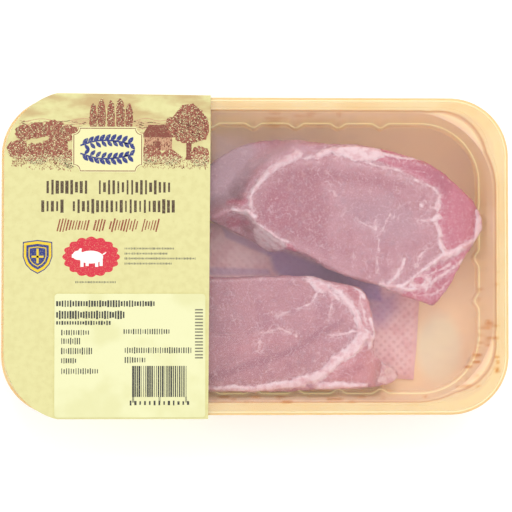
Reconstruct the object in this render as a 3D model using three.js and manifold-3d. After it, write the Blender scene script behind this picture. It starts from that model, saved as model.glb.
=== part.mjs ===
// A sealed supermarket meat pack: two raw boneless pork chops on a soaker pad in a thermoformed tray, closed by
// a clear lid film. A card sleeve wraps the left half of the tray and carries a price label.
// Millimetres, +Z up. The origin is under the middle of the tray, on the surface that the pack stands on.

import * as THREE from "three";
import { mergeVertices } from "three/addons/utils/BufferGeometryUtils.js";
import Module from "manifold-3d";

// Clearance between pieces that touch in the real pack
const GAP = 0.3;

// Tray, over its rim, and its formed sheet
const TRAY_LENGTH = 230;
const TRAY_WIDTH = 144;
const RIM_TOP = 40;
const SHEET = 0.8;
const RIM_RADIUS = 28.8;
const FLANGE_WIDTH = 5.4;
const LIP_DROP = 4.5;
const WALL_TOP_INSET = 6.6;
const WALL_FOOT_INSET = 8.1;
const FLOOR_INSET = 9.8;
const WALL_TOP_RADIUS = 36;
const WALL_FOOT_RADIUS = 28.2;
const CORNER_STEPS = 12;

// A shallow crescent recess under the flange in each corner, by which stacked empty trays come apart
const RECESS_FLOOR = 36.2;
const RECESS_DEPTH = 3;
const RECESS_MIDDLE = THREE.MathUtils.degToRad(55);
const RECESS_HALF = THREE.MathUtils.degToRad(27);

// Half-round ribs in the tray wall
const RIB_PITCH = 20;
const RIB_WIDTH = 9;
const RIB_DEPTH = 2;
const SIDE_RIBS = 7;
const END_RIBS = 3;
const RIB_STATIONS = [-1, -0.5, 0, 0.5, 1];

// Low feet under the four corners of the tray, as high as the sleeve's card
const FOOT_RADIUS = 6;
const FOOT_X = 97;
const FOOT_Y = 46;

// Card sleeve
const CARD = 0.45;
const SLEEVE_LEFT = -113.6;
const SLEEVE_RIGHT = -21.05;
const SLEEVE_SKEW = 0.0075;
const SLEEVE_CUT_RADIUS = 32;
const SLEEVE_CUT_Y = 42.6;
const FOLD_BACK_LEFT = 73.6;
const FOLD_BACK_RIGHT = 72.8;
const FOLD_FRONT = 73.6;
const SLEEVE_BEND_HEIGHT = 34.5;
const SLEEVE_BASE_HALF = 66.5;
const SLEEVE_STATIONS = 28;

// Lid film and price label
const FILM_THICKNESS = 0.3;
const FILM_INSET = 1.7;
const LABEL_THICKNESS = 0.25;
const LABEL_LEFT = -90.8;
const LABEL_RIGHT = -22.9;
const LABEL_BACK = -17.1;
const LABEL_FRONT = -72.8;
const LABEL_RADIUS = 1.6;

// Soaker pad, turned a little in the tray
const PAD_LENGTH = 120;
const PAD_WIDTH = 67;
const PAD_THICKNESS = 1.6;
const PAD_EDGE = 1.2;
const PAD_TURN = THREE.MathUtils.degToRad(-4);
const PAD_CENTRE = new THREE.Vector2(18.3, -19.8);

// Levels, from the table up
const TRAY_BASE = CARD + GAP;
const FLOOR_TOP = TRAY_BASE + SHEET;
const PAD_BASE = FLOOR_TOP + GAP;
const CHOP_BASE = PAD_BASE + PAD_THICKNESS + GAP;
const FILM_BASE = RIM_TOP + GAP;
const SLEEVE_TOP = FILM_BASE + FILM_THICKNESS + GAP + CARD;
const LABEL_BASE = SLEEVE_TOP + GAP;

// Chops: the outline seen from above, clockwise from the left end, the line that the outline shrinks to, and
// the swells and hollows of the cut face. reach is how far from x, y a swell or hollow is felt.
const CHOP_POINTS = 84;
const UPPER_CHOP = {
  thickness: 22.3,
  outline: [
    [-27, 28], [-24, 40], [-15, 48], [-1, 54], [16, 55], [36, 52.8], [51, 52], [63, 49.4], [76.5, 45.5],
    [85, 41.3], [94, 34], [101.6, 26], [104.8, 20.6], [106.2, 16.5], [105.4, 11.4], [102, 6.6], [99, 2],
    [95.5, -4], [91.8, -11.4], [87, -18.6], [82.6, -22.7], [78, -21.3], [66.5, -17.6], [57.3, -13.8],
    [46.2, -10.6], [33.3, -5.6], [26, -1.2], [16.3, 2.6], [7, 2.4], [-1.2, 7.5], [-13.6, 13.5], [-23, 18.5],
  ],
  spine: [[4, 29], [84, 9]],
  swells: [
    { x: -22, y: 31, reach: 15, height: -8 },
    { x: -2, y: 12, reach: 10, height: -6 },
    { x: 12, y: 56, reach: 12, height: -5 },
    { x: 42, y: 18, reach: 34, height: 1.8 },
    { x: 82, y: -22, reach: 12, height: -4 },
    { x: 104, y: 14, reach: 8, height: -2.5 },
  ],
};
const LOWER_CHOP = {
  thickness: 21.8,
  outline: [
    [-69, -35.5], [-63, -20], [-48, -10.6], [-30, -8.6], [-11, -8.8], [7, -8.2], [25.6, -8.4], [34.6, -10.8],
    [44.6, -12.4], [50.6, -15.2], [53.2, -20.4], [55.4, -29], [56.2, -36], [56, -42.5], [60.4, -49],
    [66.4, -52], [67.6, -56], [64, -59], [57, -60.2], [46, -61.2], [26, -62], [7, -62.6], [-11, -62.6],
    [-30, -61.4], [-48, -58], [-62, -50],
  ],
  spine: [[-44, -35], [38, -37]],
  swells: [
    { x: 66, y: -56, reach: 9.5, height: -13.5 },
    { x: 56, y: -46, reach: 7, height: -4 },
    { x: -4, y: -34, reach: 32, height: 1.6 },
    { x: -66, y: -36, reach: 14, height: -3.5 },
    { x: 18, y: -62, reach: 22, height: -1.5 },
  ],
};

// How far each ring of a chop lies inside the outline, in millimetres, and its height as a share of the local
// thickness: the flat underside, the slightly barrelled side and the rounded top edge.
const CHOP_SIDE = [
  { inset: 4, height: 0 },
  { inset: 2.2, height: 0.07 },
  { inset: 1.2, height: 0.27 },
  { inset: 0.4, height: 0.58 },
  { inset: 0, height: 0.84 },
  { inset: 0.5, height: 0.94 },
  { inset: 1.8, height: 0.99 },
  { inset: 3.6, height: 1 },
];

// Rings of the cut face, as shares of the way from the spine out to the last side ring
const CHOP_FACE = [0.84, 0.66, 0.46, 0.26, 0.08];

const wasm = await Module();
wasm.setup();

// One closed solid through rings of equal length, each anticlockwise from above and listed from the middle of
// the underside outwards, up and in over the top. Fans close both ends, or the last ring joins the first.
function loft(rings, joinsUp = false) {
  const count = rings[0].length;
  const positions = rings.flat().flatMap((point) => point.toArray());
  const indices = [];
  const spans = joinsUp ? rings.length : rings.length - 1;
  for (let i = 0; i < spans; i += 1) {
    const low = i * count;
    const high = ((i + 1) % rings.length) * count;
    for (let j = 0; j < count; j += 1) {
      const next = (j + 1) % count;
      indices.push(low + j, low + next, high + next, low + j, high + next, high + j);
    }
  }
  if (!joinsUp) {
    const last = (rings.length - 1) * count;
    const under = addCentre(positions, rings[0]);
    const over = addCentre(positions, rings[rings.length - 1]);
    for (let j = 0; j < count; j += 1) {
      const next = (j + 1) % count;
      indices.push(under, next, j, over, last + j, last + next);
    }
  }
  const geometry = new THREE.BufferGeometry();
  geometry.setAttribute("position", new THREE.Float32BufferAttribute(positions, 3));
  geometry.setIndex(indices);
  return geometry;
}

// Adds the middle of a ring to the positions and returns its index.
function addCentre(positions, ring) {
  const centre = ring.reduce((sum, point) => sum.add(point), new THREE.Vector3());
  positions.push(...centre.divideScalar(ring.length).toArray());
  return positions.length / 3 - 1;
}

// A rounded rectangle on level z. Its straight runs carry stations for the wall ribs, which bulge inwards, and
// its corners bulge outwards at the recesses.
function roundedRing(halfX, halfY, radius, z, ribDepth = 0, recessDepth = 0) {
  const points = [];
  for (let side = 0; side < 4; side += 1) {
    const onEnd = side % 2 === 0;
    const reach = onEnd ? halfX : halfY;
    const run = (onEnd ? halfY : halfX) - radius;
    const ribs = onEnd ? END_RIBS : SIDE_RIBS;
    const place = (out, along) => {
      const turn = (side * Math.PI) / 2;
      const x = out * Math.cos(turn) - along * Math.sin(turn);
      const y = out * Math.sin(turn) + along * Math.cos(turn);
      points.push(new THREE.Vector3(x, y, z));
    };
    for (let rib = 0; rib < ribs; rib += 1) {
      const middle = (rib - (ribs - 1) / 2) * RIB_PITCH;
      for (const share of RIB_STATIONS) {
        const bulge = ribDepth * Math.cos((share * Math.PI) / 2) ** 2;
        place(reach - bulge, middle + (share * RIB_WIDTH) / 2);
      }
    }
    for (let step = 0; step <= CORNER_STEPS; step += 1) {
      const angle = (step / CORNER_STEPS) * (Math.PI / 2);
      const off = Math.min(1, Math.abs(angle - RECESS_MIDDLE) / RECESS_HALF);
      const out = radius + recessDepth * Math.cos((off * Math.PI) / 2);
      place(reach - radius + out * Math.cos(angle), run + out * Math.sin(angle));
    }
  }
  return points;
}

// A ring of the tray, a given distance inside the outer edge of the rim.
function trayRing(inset, radius, z, ribDepth = 0, recessDepth = 0) {
  const halfX = TRAY_LENGTH / 2 - inset;
  const halfY = TRAY_WIDTH / 2 - inset;
  return roundedRing(halfX, halfY, radius, z, ribDepth, recessDepth);
}

// The formed sheet, from the underside of the base up the outside, over the rolled rim and down the inside.
// The flange is widest in the corners, where its inner edge turns on a larger radius than the rim does.
function trayShell() {
  const lipFoot = RIM_TOP - LIP_DROP;
  const ledge = FLOOR_TOP + 2.6;
  const middle = 18;
  const middleInset = (WALL_TOP_INSET + WALL_FOOT_INSET) / 2;
  const middleRadius = (WALL_TOP_RADIUS + WALL_FOOT_RADIUS) / 2;
  const outside = [
    trayRing(FLOOR_INSET - 0.4, 26.4, TRAY_BASE, RIB_DEPTH),
    trayRing(WALL_FOOT_INSET + 0.2, 28, TRAY_BASE + 1.8, RIB_DEPTH),
    trayRing(WALL_FOOT_INSET - 0.7, WALL_FOOT_RADIUS + 0.7, ledge - 0.4, RIB_DEPTH),
    trayRing(middleInset - SHEET, middleRadius + 0.7, middle, RIB_DEPTH * 0.3),
    trayRing(WALL_TOP_INSET - SHEET, WALL_TOP_RADIUS + 0.7, RECESS_FLOOR - 1.8),
    trayRing(FLANGE_WIDTH + 0.2, WALL_TOP_RADIUS + 0.4, RECESS_FLOOR - SHEET, 0, RECESS_DEPTH - 0.3),
    trayRing(FLANGE_WIDTH - 0.2, WALL_TOP_RADIUS + 0.4, RIM_TOP - SHEET, 0, RECESS_DEPTH),
    trayRing(2, RIM_RADIUS - 2, RIM_TOP - SHEET),
    trayRing(SHEET, RIM_RADIUS - SHEET, RIM_TOP - 1.9),
    trayRing(SHEET, RIM_RADIUS - SHEET, lipFoot),
    trayRing(0, RIM_RADIUS, lipFoot),
    trayRing(0, RIM_RADIUS, RIM_TOP - 1.3),
    trayRing(0.6, RIM_RADIUS - 0.6, RIM_TOP - 0.4),
    trayRing(1.6, RIM_RADIUS - 1.6, RIM_TOP),
  ];
  const inside = [
    trayRing(FLANGE_WIDTH, WALL_TOP_RADIUS, RIM_TOP, 0, RECESS_DEPTH),
    trayRing(FLANGE_WIDTH + 0.5, WALL_TOP_RADIUS - 0.2, RIM_TOP - 0.6, 0, RECESS_DEPTH),
    trayRing(FLANGE_WIDTH + 1, WALL_TOP_RADIUS - 0.4, RECESS_FLOOR, 0, RECESS_DEPTH - 0.3),
    trayRing(WALL_TOP_INSET, WALL_TOP_RADIUS, RECESS_FLOOR - 0.8),
    trayRing(middleInset, middleRadius, middle, RIB_DEPTH * 0.3),
    trayRing(WALL_FOOT_INSET, WALL_FOOT_RADIUS, ledge, RIB_DEPTH),
    trayRing(WALL_FOOT_INSET + 1, 27.2, ledge - 0.6, RIB_DEPTH),
    trayRing(FLOOR_INSET, 26.2, FLOOR_TOP, RIB_DEPTH),
  ];
  return loft([...outside, ...inside]);
}

// A closed geometry as a solid that can be joined to another.
function solidOf(geometry) {
  geometry.deleteAttribute("normal");
  geometry.deleteAttribute("uv");
  const merged = mergeVertices(geometry, 1e-4);
  const triVerts = new Uint32Array(merged.index.array);
  const vertProperties = merged.attributes.position.array;
  return new wasm.Manifold(new wasm.Mesh({ numProp: 3, vertProperties, triVerts }));
}

// The geometry of a solid.
function geometryOf(solid) {
  const { vertProperties, triVerts } = solid.getMesh();
  const geometry = new THREE.BufferGeometry();
  geometry.setAttribute("position", new THREE.BufferAttribute(vertProperties, 3));
  geometry.setIndex(new THREE.BufferAttribute(triVerts, 1));
  return geometry;
}

// The tray with its four feet.
function trayGeometry() {
  let tray = solidOf(trayShell());
  const height = TRAY_BASE + SHEET / 2;
  for (const x of [-FOOT_X, FOOT_X]) {
    for (const y of [-FOOT_Y, FOOT_Y]) {
      const foot = new THREE.CylinderGeometry(FOOT_RADIUS, FOOT_RADIUS - 0.6, height, 24);
      foot.rotateX(Math.PI / 2).translate(x, y, height / 2);
      tray = tray.add(solidOf(foot));
    }
  }
  return geometryOf(tray);
}

// A flat sheet between two levels, with the rounded outline of the rim.
function filmGeometry() {
  const halfX = TRAY_LENGTH / 2 - FILM_INSET;
  const halfY = TRAY_WIDTH / 2 - FILM_INSET;
  const radius = RIM_RADIUS - FILM_INSET;
  const levels = [FILM_BASE, FILM_BASE + FILM_THICKNESS];
  return loft(levels.map((z) => roundedRing(halfX, halfY, radius, z)));
}

// A thin quilted pad with soft edges, flat on the tray floor.
function padGeometry() {
  const ring = (inset, z) => {
    const halfX = PAD_LENGTH / 2 - inset;
    const halfY = PAD_WIDTH / 2 - inset;
    return new THREE.Shape()
      .moveTo(halfX, -halfY)
      .lineTo(halfX, halfY)
      .lineTo(-halfX, halfY)
      .lineTo(-halfX, -halfY)
      .closePath()
      .getSpacedPoints(48)
      .slice(0, -1)
      .map((point) => point.rotateAround(new THREE.Vector2(), PAD_TURN).add(PAD_CENTRE))
      .map((point) => new THREE.Vector3(point.x, point.y, z));
  };
  const top = PAD_BASE + PAD_THICKNESS;
  return loft([
    ring(PAD_EDGE, PAD_BASE),
    ring(0, PAD_BASE + 0.35),
    ring(0.2, PAD_BASE + 0.8),
    ring(PAD_EDGE, top - 0.2),
    ring(PAD_EDGE * 3, top),
  ]);
}

// The cut face's height over the underside at a point of a chop.
function chopThickness(chop, point) {
  return chop.swells.reduce((height, swell) => {
    const distance = Math.hypot(point.x - swell.x, point.y - swell.y) / swell.reach;
    return height + swell.height * Math.exp(-(distance ** 2));
  }, chop.thickness);
}

// A chop: its outline sinks in towards the spine, ring by ring, over the side and across the cut face.
function chopGeometry(chop) {
  const control = chop.outline.map(([x, y]) => new THREE.Vector3(x, y, 0));
  const outline = new THREE.CatmullRomCurve3(control, true, "centripetal")
    .getSpacedPoints(CHOP_POINTS)
    .slice(0, -1)
    .reverse();
  const [start, end] = chop.spine.map(([x, y]) => new THREE.Vector3(x, y, 0));
  const spine = new THREE.Line3(start, end);
  const inner = outline.map((point) => spine.closestPointToPoint(point, true, new THREE.Vector3()));
  const raise = (point, share) => {
    point.z = CHOP_BASE + share * chopThickness(chop, point);
    return point;
  };
  const side = CHOP_SIDE.map(({ inset, height }) =>
    outline.map((point, i) => {
      const share = inset / point.distanceTo(inner[i]);
      return raise(point.clone().lerp(inner[i], share), height);
    }),
  );
  const edge = side[side.length - 1];
  const face = CHOP_FACE.map((share) =>
    edge.map((point, i) => raise(inner[i].clone().lerp(point.clone().setZ(0), share), 1)),
  );
  return loft([...side, ...face]);
}

// The x of the sleeve's left edge: a die-cut arc that follows the tray's corners on the top panel, and on the
// panels below it a straight line between the ends of that arc.
function sleeveLeft(y, onTop) {
  const centreX = SLEEVE_LEFT + SLEEVE_CUT_RADIUS;
  const arcX = (distance) => centreX - Math.sqrt(SLEEVE_CUT_RADIUS ** 2 - distance ** 2);
  if (onTop) {
    return arcX(Math.max(0, Math.abs(y) - SLEEVE_CUT_Y));
  }
  const back = arcX(FOLD_BACK_LEFT - SLEEVE_CUT_Y);
  const front = arcX(FOLD_FRONT - SLEEVE_CUT_Y);
  const share = THREE.MathUtils.clamp((y + FOLD_FRONT) / (FOLD_BACK_LEFT + FOLD_FRONT), 0, 1);
  return THREE.MathUtils.lerp(front, back, share);
}

// The sleeve's section across the tray, as points [y, z] sunk into the card by depth, with stations along the
// top panel. It starts at the back fold and runs over the top.
function sleeveSection(foldBack, depth) {
  const corners = [
    [foldBack, SLEEVE_TOP],
    [-FOLD_FRONT, SLEEVE_TOP],
    [-FOLD_FRONT, SLEEVE_BEND_HEIGHT],
    [-SLEEVE_BASE_HALF, 0],
    [SLEEVE_BASE_HALF, 0],
    [foldBack, SLEEVE_BEND_HEIGHT],
  ].map(([y, z]) => new THREE.Vector2(y, z));
  const outwards = corners.map((corner, i) => {
    const along = corners[(i + 1) % corners.length].clone().sub(corner).normalize();
    return new THREE.Vector2(-along.y, along.x).negate();
  });
  const sunk = corners.map((corner, i) => {
    const before = outwards[(i + corners.length - 1) % corners.length];
    const after = outwards[i];
    const step = before.clone().add(after).divideScalar(1 + before.dot(after));
    return corner.clone().addScaledVector(step, -depth);
  });
  const top = Array.from({ length: SLEEVE_STATIONS }, (_, i) => {
    const share = (1 - Math.cos((i / (SLEEVE_STATIONS - 1)) * Math.PI)) / 2;
    return { at: sunk[0].clone().lerp(sunk[1], share), onTop: true };
  });
  return [...top, ...sunk.slice(2).map((at) => ({ at, onTop: false }))];
}

// The sleeve, a closed band of card.
function sleeveGeometry() {
  const outline = sleeveSection(FOLD_BACK_LEFT, 0);
  const ring = (foldBack, depth, atLeft) =>
    sleeveSection(foldBack, depth).map(({ at, onTop }, i) => {
      const y = outline[i].at.x;
      const x = atLeft ? sleeveLeft(y, onTop) : SLEEVE_RIGHT + SLEEVE_SKEW * y;
      return new THREE.Vector3(x, at.x, at.y);
    });
  return loft(
    [
      ring(FOLD_BACK_LEFT, 0, true),
      ring(FOLD_BACK_RIGHT, 0, false),
      ring(FOLD_BACK_RIGHT, CARD, false),
      ring(FOLD_BACK_LEFT, CARD, true),
    ],
    true,
  );
}

// A flat sticker with small round corners.
function labelGeometry() {
  const [left, right, front, back] = [LABEL_LEFT, LABEL_RIGHT, LABEL_FRONT, LABEL_BACK];
  const radius = LABEL_RADIUS;
  const shape = new THREE.Shape()
    .moveTo(left + radius, front)
    .lineTo(right - radius, front)
    .absarc(right - radius, front + radius, radius, -Math.PI / 2, 0)
    .lineTo(right, back - radius)
    .absarc(right - radius, back - radius, radius, 0, Math.PI / 2)
    .lineTo(left + radius, back)
    .absarc(left + radius, back - radius, radius, Math.PI / 2, Math.PI)
    .lineTo(left, front + radius)
    .absarc(left + radius, front + radius, radius, Math.PI, (3 * Math.PI) / 2);
  const geometry = new THREE.ExtrudeGeometry(shape, {
    depth: LABEL_THICKNESS,
    bevelEnabled: false,
    curveSegments: 5,
  });
  return geometry.translate(0, 0, LABEL_BASE);
}

// Finishes, as plain colour, roughness and clearness
const finishes = {
  trayPlastic: { color: 0xf6d9ab, roughness: 0.35 },
  clearFilm: { color: 0xf3eef0, roughness: 0.1, transparent: true, opacity: 0.2 },
  soakerPad: { color: 0xd9a3a3, roughness: 0.7 },
  porkUpper: { color: 0xcf97a3, roughness: 0.35 },
  porkLower: { color: 0xcc939e, roughness: 0.35 },
  sleeveCard: { color: 0xefeaab, roughness: 0.75 },
  labelPaper: { color: 0xf8f7c4, roughness: 0.6 },
};

// A named mesh with its finish.
function piece(name, geometry, finish) {
  const mesh = new THREE.Mesh(geometry, new THREE.MeshStandardMaterial({ metalness: 0, ...finish }));
  mesh.name = name;
  return mesh;
}

const pack = new THREE.Group();
const contents = new THREE.Group();
const wrapping = new THREE.Group();

contents.add(
  piece("soaker_pad", padGeometry(), finishes.soakerPad),
  piece("chop_upper", chopGeometry(UPPER_CHOP), finishes.porkUpper),
  piece("chop_lower", chopGeometry(LOWER_CHOP), finishes.porkLower),
);
wrapping.add(
  piece("lid_film", filmGeometry(), finishes.clearFilm),
  piece("card_sleeve", sleeveGeometry(), finishes.sleeveCard),
  piece("price_label", labelGeometry(), finishes.labelPaper),
);
pack.add(piece("tray", trayGeometry(), finishes.trayPlastic), contents, wrapping);

export default pack;
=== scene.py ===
"""The looks of a sealed meat tray pack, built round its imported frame.

Two raw pork chops lie on a soaker pad in a formed tray under clear film, and a printed card sleeve
with a price label goes round the left of the tray. Shapes are worked out in millimetres and turned
into metres when a mesh is made. +X runs along the tray away from the sleeve, and +Z is up.
"""

import logging
import math
from dataclasses import dataclass
from enum import Enum

import bmesh
import bpy
import numpy as np
from bpy.types import Material, Mesh, Node, NodeSocket, NodeTree, Object
from mathutils import Matrix, Vector
from mathutils.geometry import tessellate_polygon


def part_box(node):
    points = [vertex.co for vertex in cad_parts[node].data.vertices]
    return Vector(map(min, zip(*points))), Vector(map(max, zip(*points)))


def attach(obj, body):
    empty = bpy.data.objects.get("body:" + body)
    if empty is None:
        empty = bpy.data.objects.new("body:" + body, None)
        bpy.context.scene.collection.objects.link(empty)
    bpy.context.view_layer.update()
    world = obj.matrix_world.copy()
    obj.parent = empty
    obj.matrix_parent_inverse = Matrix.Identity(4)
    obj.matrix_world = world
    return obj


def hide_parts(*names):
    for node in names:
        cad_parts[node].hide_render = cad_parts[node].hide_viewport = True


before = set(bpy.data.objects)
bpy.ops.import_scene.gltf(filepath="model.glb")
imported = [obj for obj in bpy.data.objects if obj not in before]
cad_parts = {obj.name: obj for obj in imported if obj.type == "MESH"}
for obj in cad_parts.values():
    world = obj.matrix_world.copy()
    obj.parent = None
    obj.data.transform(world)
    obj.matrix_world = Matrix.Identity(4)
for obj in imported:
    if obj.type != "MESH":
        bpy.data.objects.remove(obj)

Array = np.ndarray
MM = 0.001
CLEARANCE = 0.02
BODY = "root"
log = logging.getLogger("meat_tray_pack")


def linear(code: str) -> tuple[float, float, float, float]:
    """Turns an sRGB hex colour into linear values.

    Args:
        code: the colour as "#RRGGBB".

    Returns:
        Red, green, blue and an alpha of 1.
    """
    shares = [int(code[i : i + 2], 16) / 255 for i in (1, 3, 5)]
    channels = [s / 12.92 if s <= 0.04045 else ((s + 0.055) / 1.055) ** 2.4 for s in shares]
    return (*channels, 1.0)


def add_node(
    tree: NodeTree, kind: str, inputs: dict | None = None, **settings: str | bool
) -> Node:
    """Adds a node with its settings and links.

    Args:
        tree: the node tree that gets it.
        kind: the node's type, such as "ShaderNodeMix".
        inputs: for each input's name or number a value, a socket, or a node whose first socket is linked.
        settings: the node's own properties.

    Returns:
        The new node.
    """
    node = tree.nodes.new(kind)
    for name, value in settings.items():
        setattr(node, name, value)
    for key, value in (inputs or {}).items():
        source = value.outputs[0] if isinstance(value, Node) else value
        if isinstance(source, NodeSocket):
            tree.links.new(source, node.inputs[key])
        else:
            node.inputs[key].default_value = source
    return node


def smoothstep(low: float, high: float, values: Array) -> Array:
    """Rises smoothly from 0 at low to 1 at high, or falls where low is the larger."""
    share = np.clip((values - low) / (high - low), 0, 1)
    return share * share * (3 - 2 * share)


def turned(degrees: float) -> Array:
    """Returns the matrix that turns rows of x and y anticlockwise."""
    angle = math.radians(degrees)
    return np.array([[math.cos(angle), math.sin(angle)], [-math.sin(angle), math.cos(angle)]])


def on_circle(angles: Array) -> Array:
    """Returns the places on a circle of radius 1 at the angles, in radians."""
    return np.stack([np.cos(angles), np.sin(angles)], axis=1)


@dataclass(frozen=True)
class Unevenness:
    """Smooth seeded noise, for what no tool has shaped.

    Attributes:
        seed: picks the pattern.
        cells: how many bumps there are before the pattern repeats.
    """

    seed: int
    cells: int = 48

    def at(self, points: Array, size: float) -> Array:
        """Returns values between -1 and 1 at the points, with bumps of about one size."""
        axes = points.shape[1]
        lattice = np.random.default_rng(self.seed).uniform(-1, 1, (self.cells,) * axes)
        scaled = points / size
        low = np.floor(scaled).astype(int)
        share = smoothstep(0, 1, scaled - low)
        total = np.zeros(len(points))
        for corner in np.ndindex(*(2,) * axes):
            weight = np.prod(np.where(corner, share, 1 - share), axis=1)
            cell = (low + corner) % self.cells
            total += weight * lattice[tuple(cell.T)]
        return total

    def layered(self, points: Array, layers: tuple) -> Array:
        """Adds up layers of noise, each given by its height and the size of its bumps."""
        return sum(high * self.at(points, size) for high, size in layers)


def smooth_curve(points: Array, step: float, closed: bool = False) -> Array:
    """Runs a smooth curve through points and samples it evenly.

    Args:
        points: the points, one row each.
        step: the distance between samples.
        closed: whether the curve returns to its start.

    Returns:
        The samples, without a second copy of the start where the curve is closed.
    """
    points = np.asarray(points, float)
    before, after = 2 * points[:1] - points[1:2], 2 * points[-1:] - points[-2:-1]
    if closed:
        before, after = points[-1:], points[:2]
    padded = np.vstack([before, points, after])
    share = np.linspace(0, 1, 16, endpoint=False)[:, None]
    runs = []
    for a, b, c, d in zip(padded, padded[1:], padded[2:], padded[3:]):
        bend = (2 * a - 5 * b + 4 * c - d) * share**2 + (3 * b - a - 3 * c + d) * share**3
        runs.append(b + 0.5 * ((c - a) * share + bend))
    dense = np.vstack([*runs, padded[-2:-1]])
    lengths = np.concatenate([[0], np.cumsum(np.linalg.norm(np.diff(dense, axis=0), axis=1))])
    count = max(2, round(lengths[-1] / step) + 1)
    stops = np.linspace(0, lengths[-1], count)[: count - 1 if closed else count]
    return np.stack([np.interp(stops, lengths, axis) for axis in dense.T], axis=1)


def distance_to_line(points: Array, line: Array) -> tuple[Array, Array]:
    """Measures how far points are from a line of straight stretches.

    Args:
        points: x and y of each point.
        line: x and y of each corner of the line.

    Returns:
        The distance of each point, and how far along the line, from 0 to 1, its nearest place is.
    """
    best = np.full(len(points), np.inf)
    along = np.zeros(len(points))
    for i, (start, end) in enumerate(zip(line, line[1:])):
        run = end - start
        share = np.clip((points - start) @ run / max(run @ run, 1e-12), 0, 1)
        distance = np.linalg.norm(points - start - share[:, None] * run, axis=1)
        nearer = distance < best
        best[nearer] = distance[nearer]
        along[nearer] = (i + share[nearer]) / (len(line) - 1)
    return best, along


def inside_depth(points: Array, polygon: tuple) -> Array:
    """Returns how deep each point lies inside a polygon, negative outside it."""
    closed = np.array([*polygon, polygon[0]], float)
    inside = np.zeros(len(points), bool)
    for (x0, y0), (x1, y1) in zip(closed, closed[1:]):
        crosses = (y0 > points[:, 1]) != (y1 > points[:, 1])
        rise = y1 - y0 if y1 != y0 else 1e-12
        inside ^= crosses & (points[:, 0] < (x1 - x0) * (points[:, 1] - y0) / rise + x0)
    distance, _ = distance_to_line(points, closed)
    return np.where(inside, distance, -distance)


def new_mesh(name: str, points: Array, faces: list) -> Mesh:
    """Makes a mesh from points in millimetres and from each face's vertex numbers."""
    mesh = bpy.data.meshes.new(name)
    mesh.from_pydata((np.asarray(points) * MM).tolist(), [], [list(map(int, face)) for face in faces])
    return mesh


def placed_object(mesh: Mesh) -> Object:
    """Makes an object at the origin from a mesh, under the mesh's name, and links it to the scene."""
    obj = bpy.data.objects.new(mesh.name, mesh)
    bpy.context.scene.collection.objects.link(obj)
    return obj


def new_object(
    name: str, points: Array, faces: list, sharp_angle: float, material: Material
) -> Object:
    """Makes a smooth object at the origin from points in millimetres.

    Args:
        name: the object's name.
        points: one row for each vertex.
        faces: the vertex numbers of each face, anticlockwise from outside.
        sharp_angle: edges that turn more than this many degrees stay sharp.
        material: its material.

    Returns:
        The object, linked to the scene.
    """
    mesh = new_mesh(name, points, faces)
    mesh.shade_smooth()
    mesh.set_sharp_from_angle(angle=math.radians(sharp_angle))
    mesh.materials.append(material)
    return placed_object(mesh)


def store(mesh: Mesh, **values: Array) -> None:
    """Stores named values for the vertices, repeated where the mesh has more vertices than values."""
    for name, value in values.items():
        attribute = mesh.attributes.new(name, "FLOAT", "POINT")
        attribute.data.foreach_set("value", np.resize(value, len(mesh.vertices)).astype(np.float32))


def evaluated_mesh(obj: Object) -> Mesh:
    """Returns a plain mesh of an object with its modifiers applied."""
    depsgraph = bpy.context.evaluated_depsgraph_get()
    return bpy.data.meshes.new_from_object(obj.evaluated_get(depsgraph), depsgraph=depsgraph)


def loft(rings: list[Array], joins_up: bool = False) -> tuple[Array, list]:
    """Makes the closed surface through rings of equal length.

    Args:
        rings: the rings, each anticlockwise from above, from the underside outwards, up and in over the top.
        joins_up: whether the last ring joins the first, instead of fans closing both ends.

    Returns:
        The points and the faces.
    """
    count = len(rings[0])
    points = np.vstack(rings)
    here = np.arange(count)
    following = (here + 1) % count
    faces = []
    for i in range(len(rings) if joins_up else len(rings) - 1):
        low, high = i * count, ((i + 1) % len(rings)) * count
        faces += np.stack([low + here, low + following, high + following, high + here], axis=1).tolist()
    if not joins_up:
        last = (len(rings) - 1) * count
        under, over = len(points), len(points) + 1
        points = np.vstack([points, rings[0].mean(0), rings[-1].mean(0)])
        faces += [[under, b, a] for a, b in zip(here, following)]
        faces += [[over, last + a, last + b] for a, b in zip(here, following)]
    return points, faces


def grid(half: Array, step: float) -> Array:
    """Returns even places over a rectangle round the middle, as rows along Y of columns along X."""
    columns, rows = np.round(2 * half / step).astype(int)
    axes = np.linspace(-half[0], half[0], columns), np.linspace(-half[1], half[1], rows)
    return np.stack(np.meshgrid(*axes), axis=2)


def slab(low: Array, high: Array) -> tuple[Array, list]:
    """Makes a closed sheet from its lower and upper face.

    Args:
        low: the lower face's points, as rows along Y of columns along X.
        high: the upper face's points, laid out alike.

    Returns:
        The points and the faces.
    """
    rows, columns, _ = low.shape
    index = np.arange(rows * columns).reshape(rows, columns)
    upper = index + rows * columns
    quads = np.stack([index[:-1, :-1], index[:-1, 1:], index[1:, 1:], index[1:, :-1]], axis=2).reshape(-1, 4)
    edge = np.concatenate([index[0, :-1], index[:-1, -1], index[-1, :0:-1], index[:0:-1, 0]])
    onward = np.roll(edge, -1)
    sides = np.stack([edge, onward, onward + rows * columns, edge + rows * columns], axis=1)
    faces = quads[:, ::-1].tolist() + (quads + upper[0, 0]).tolist() + sides.tolist()
    return np.vstack([low.reshape(-1, 3), high.reshape(-1, 3)]), faces


def triangles(outline: Array) -> list:
    """Cuts a flat outline into triangles of point numbers."""
    return tessellate_polygon([[Vector((*point, 0)) for point in outline]])


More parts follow.
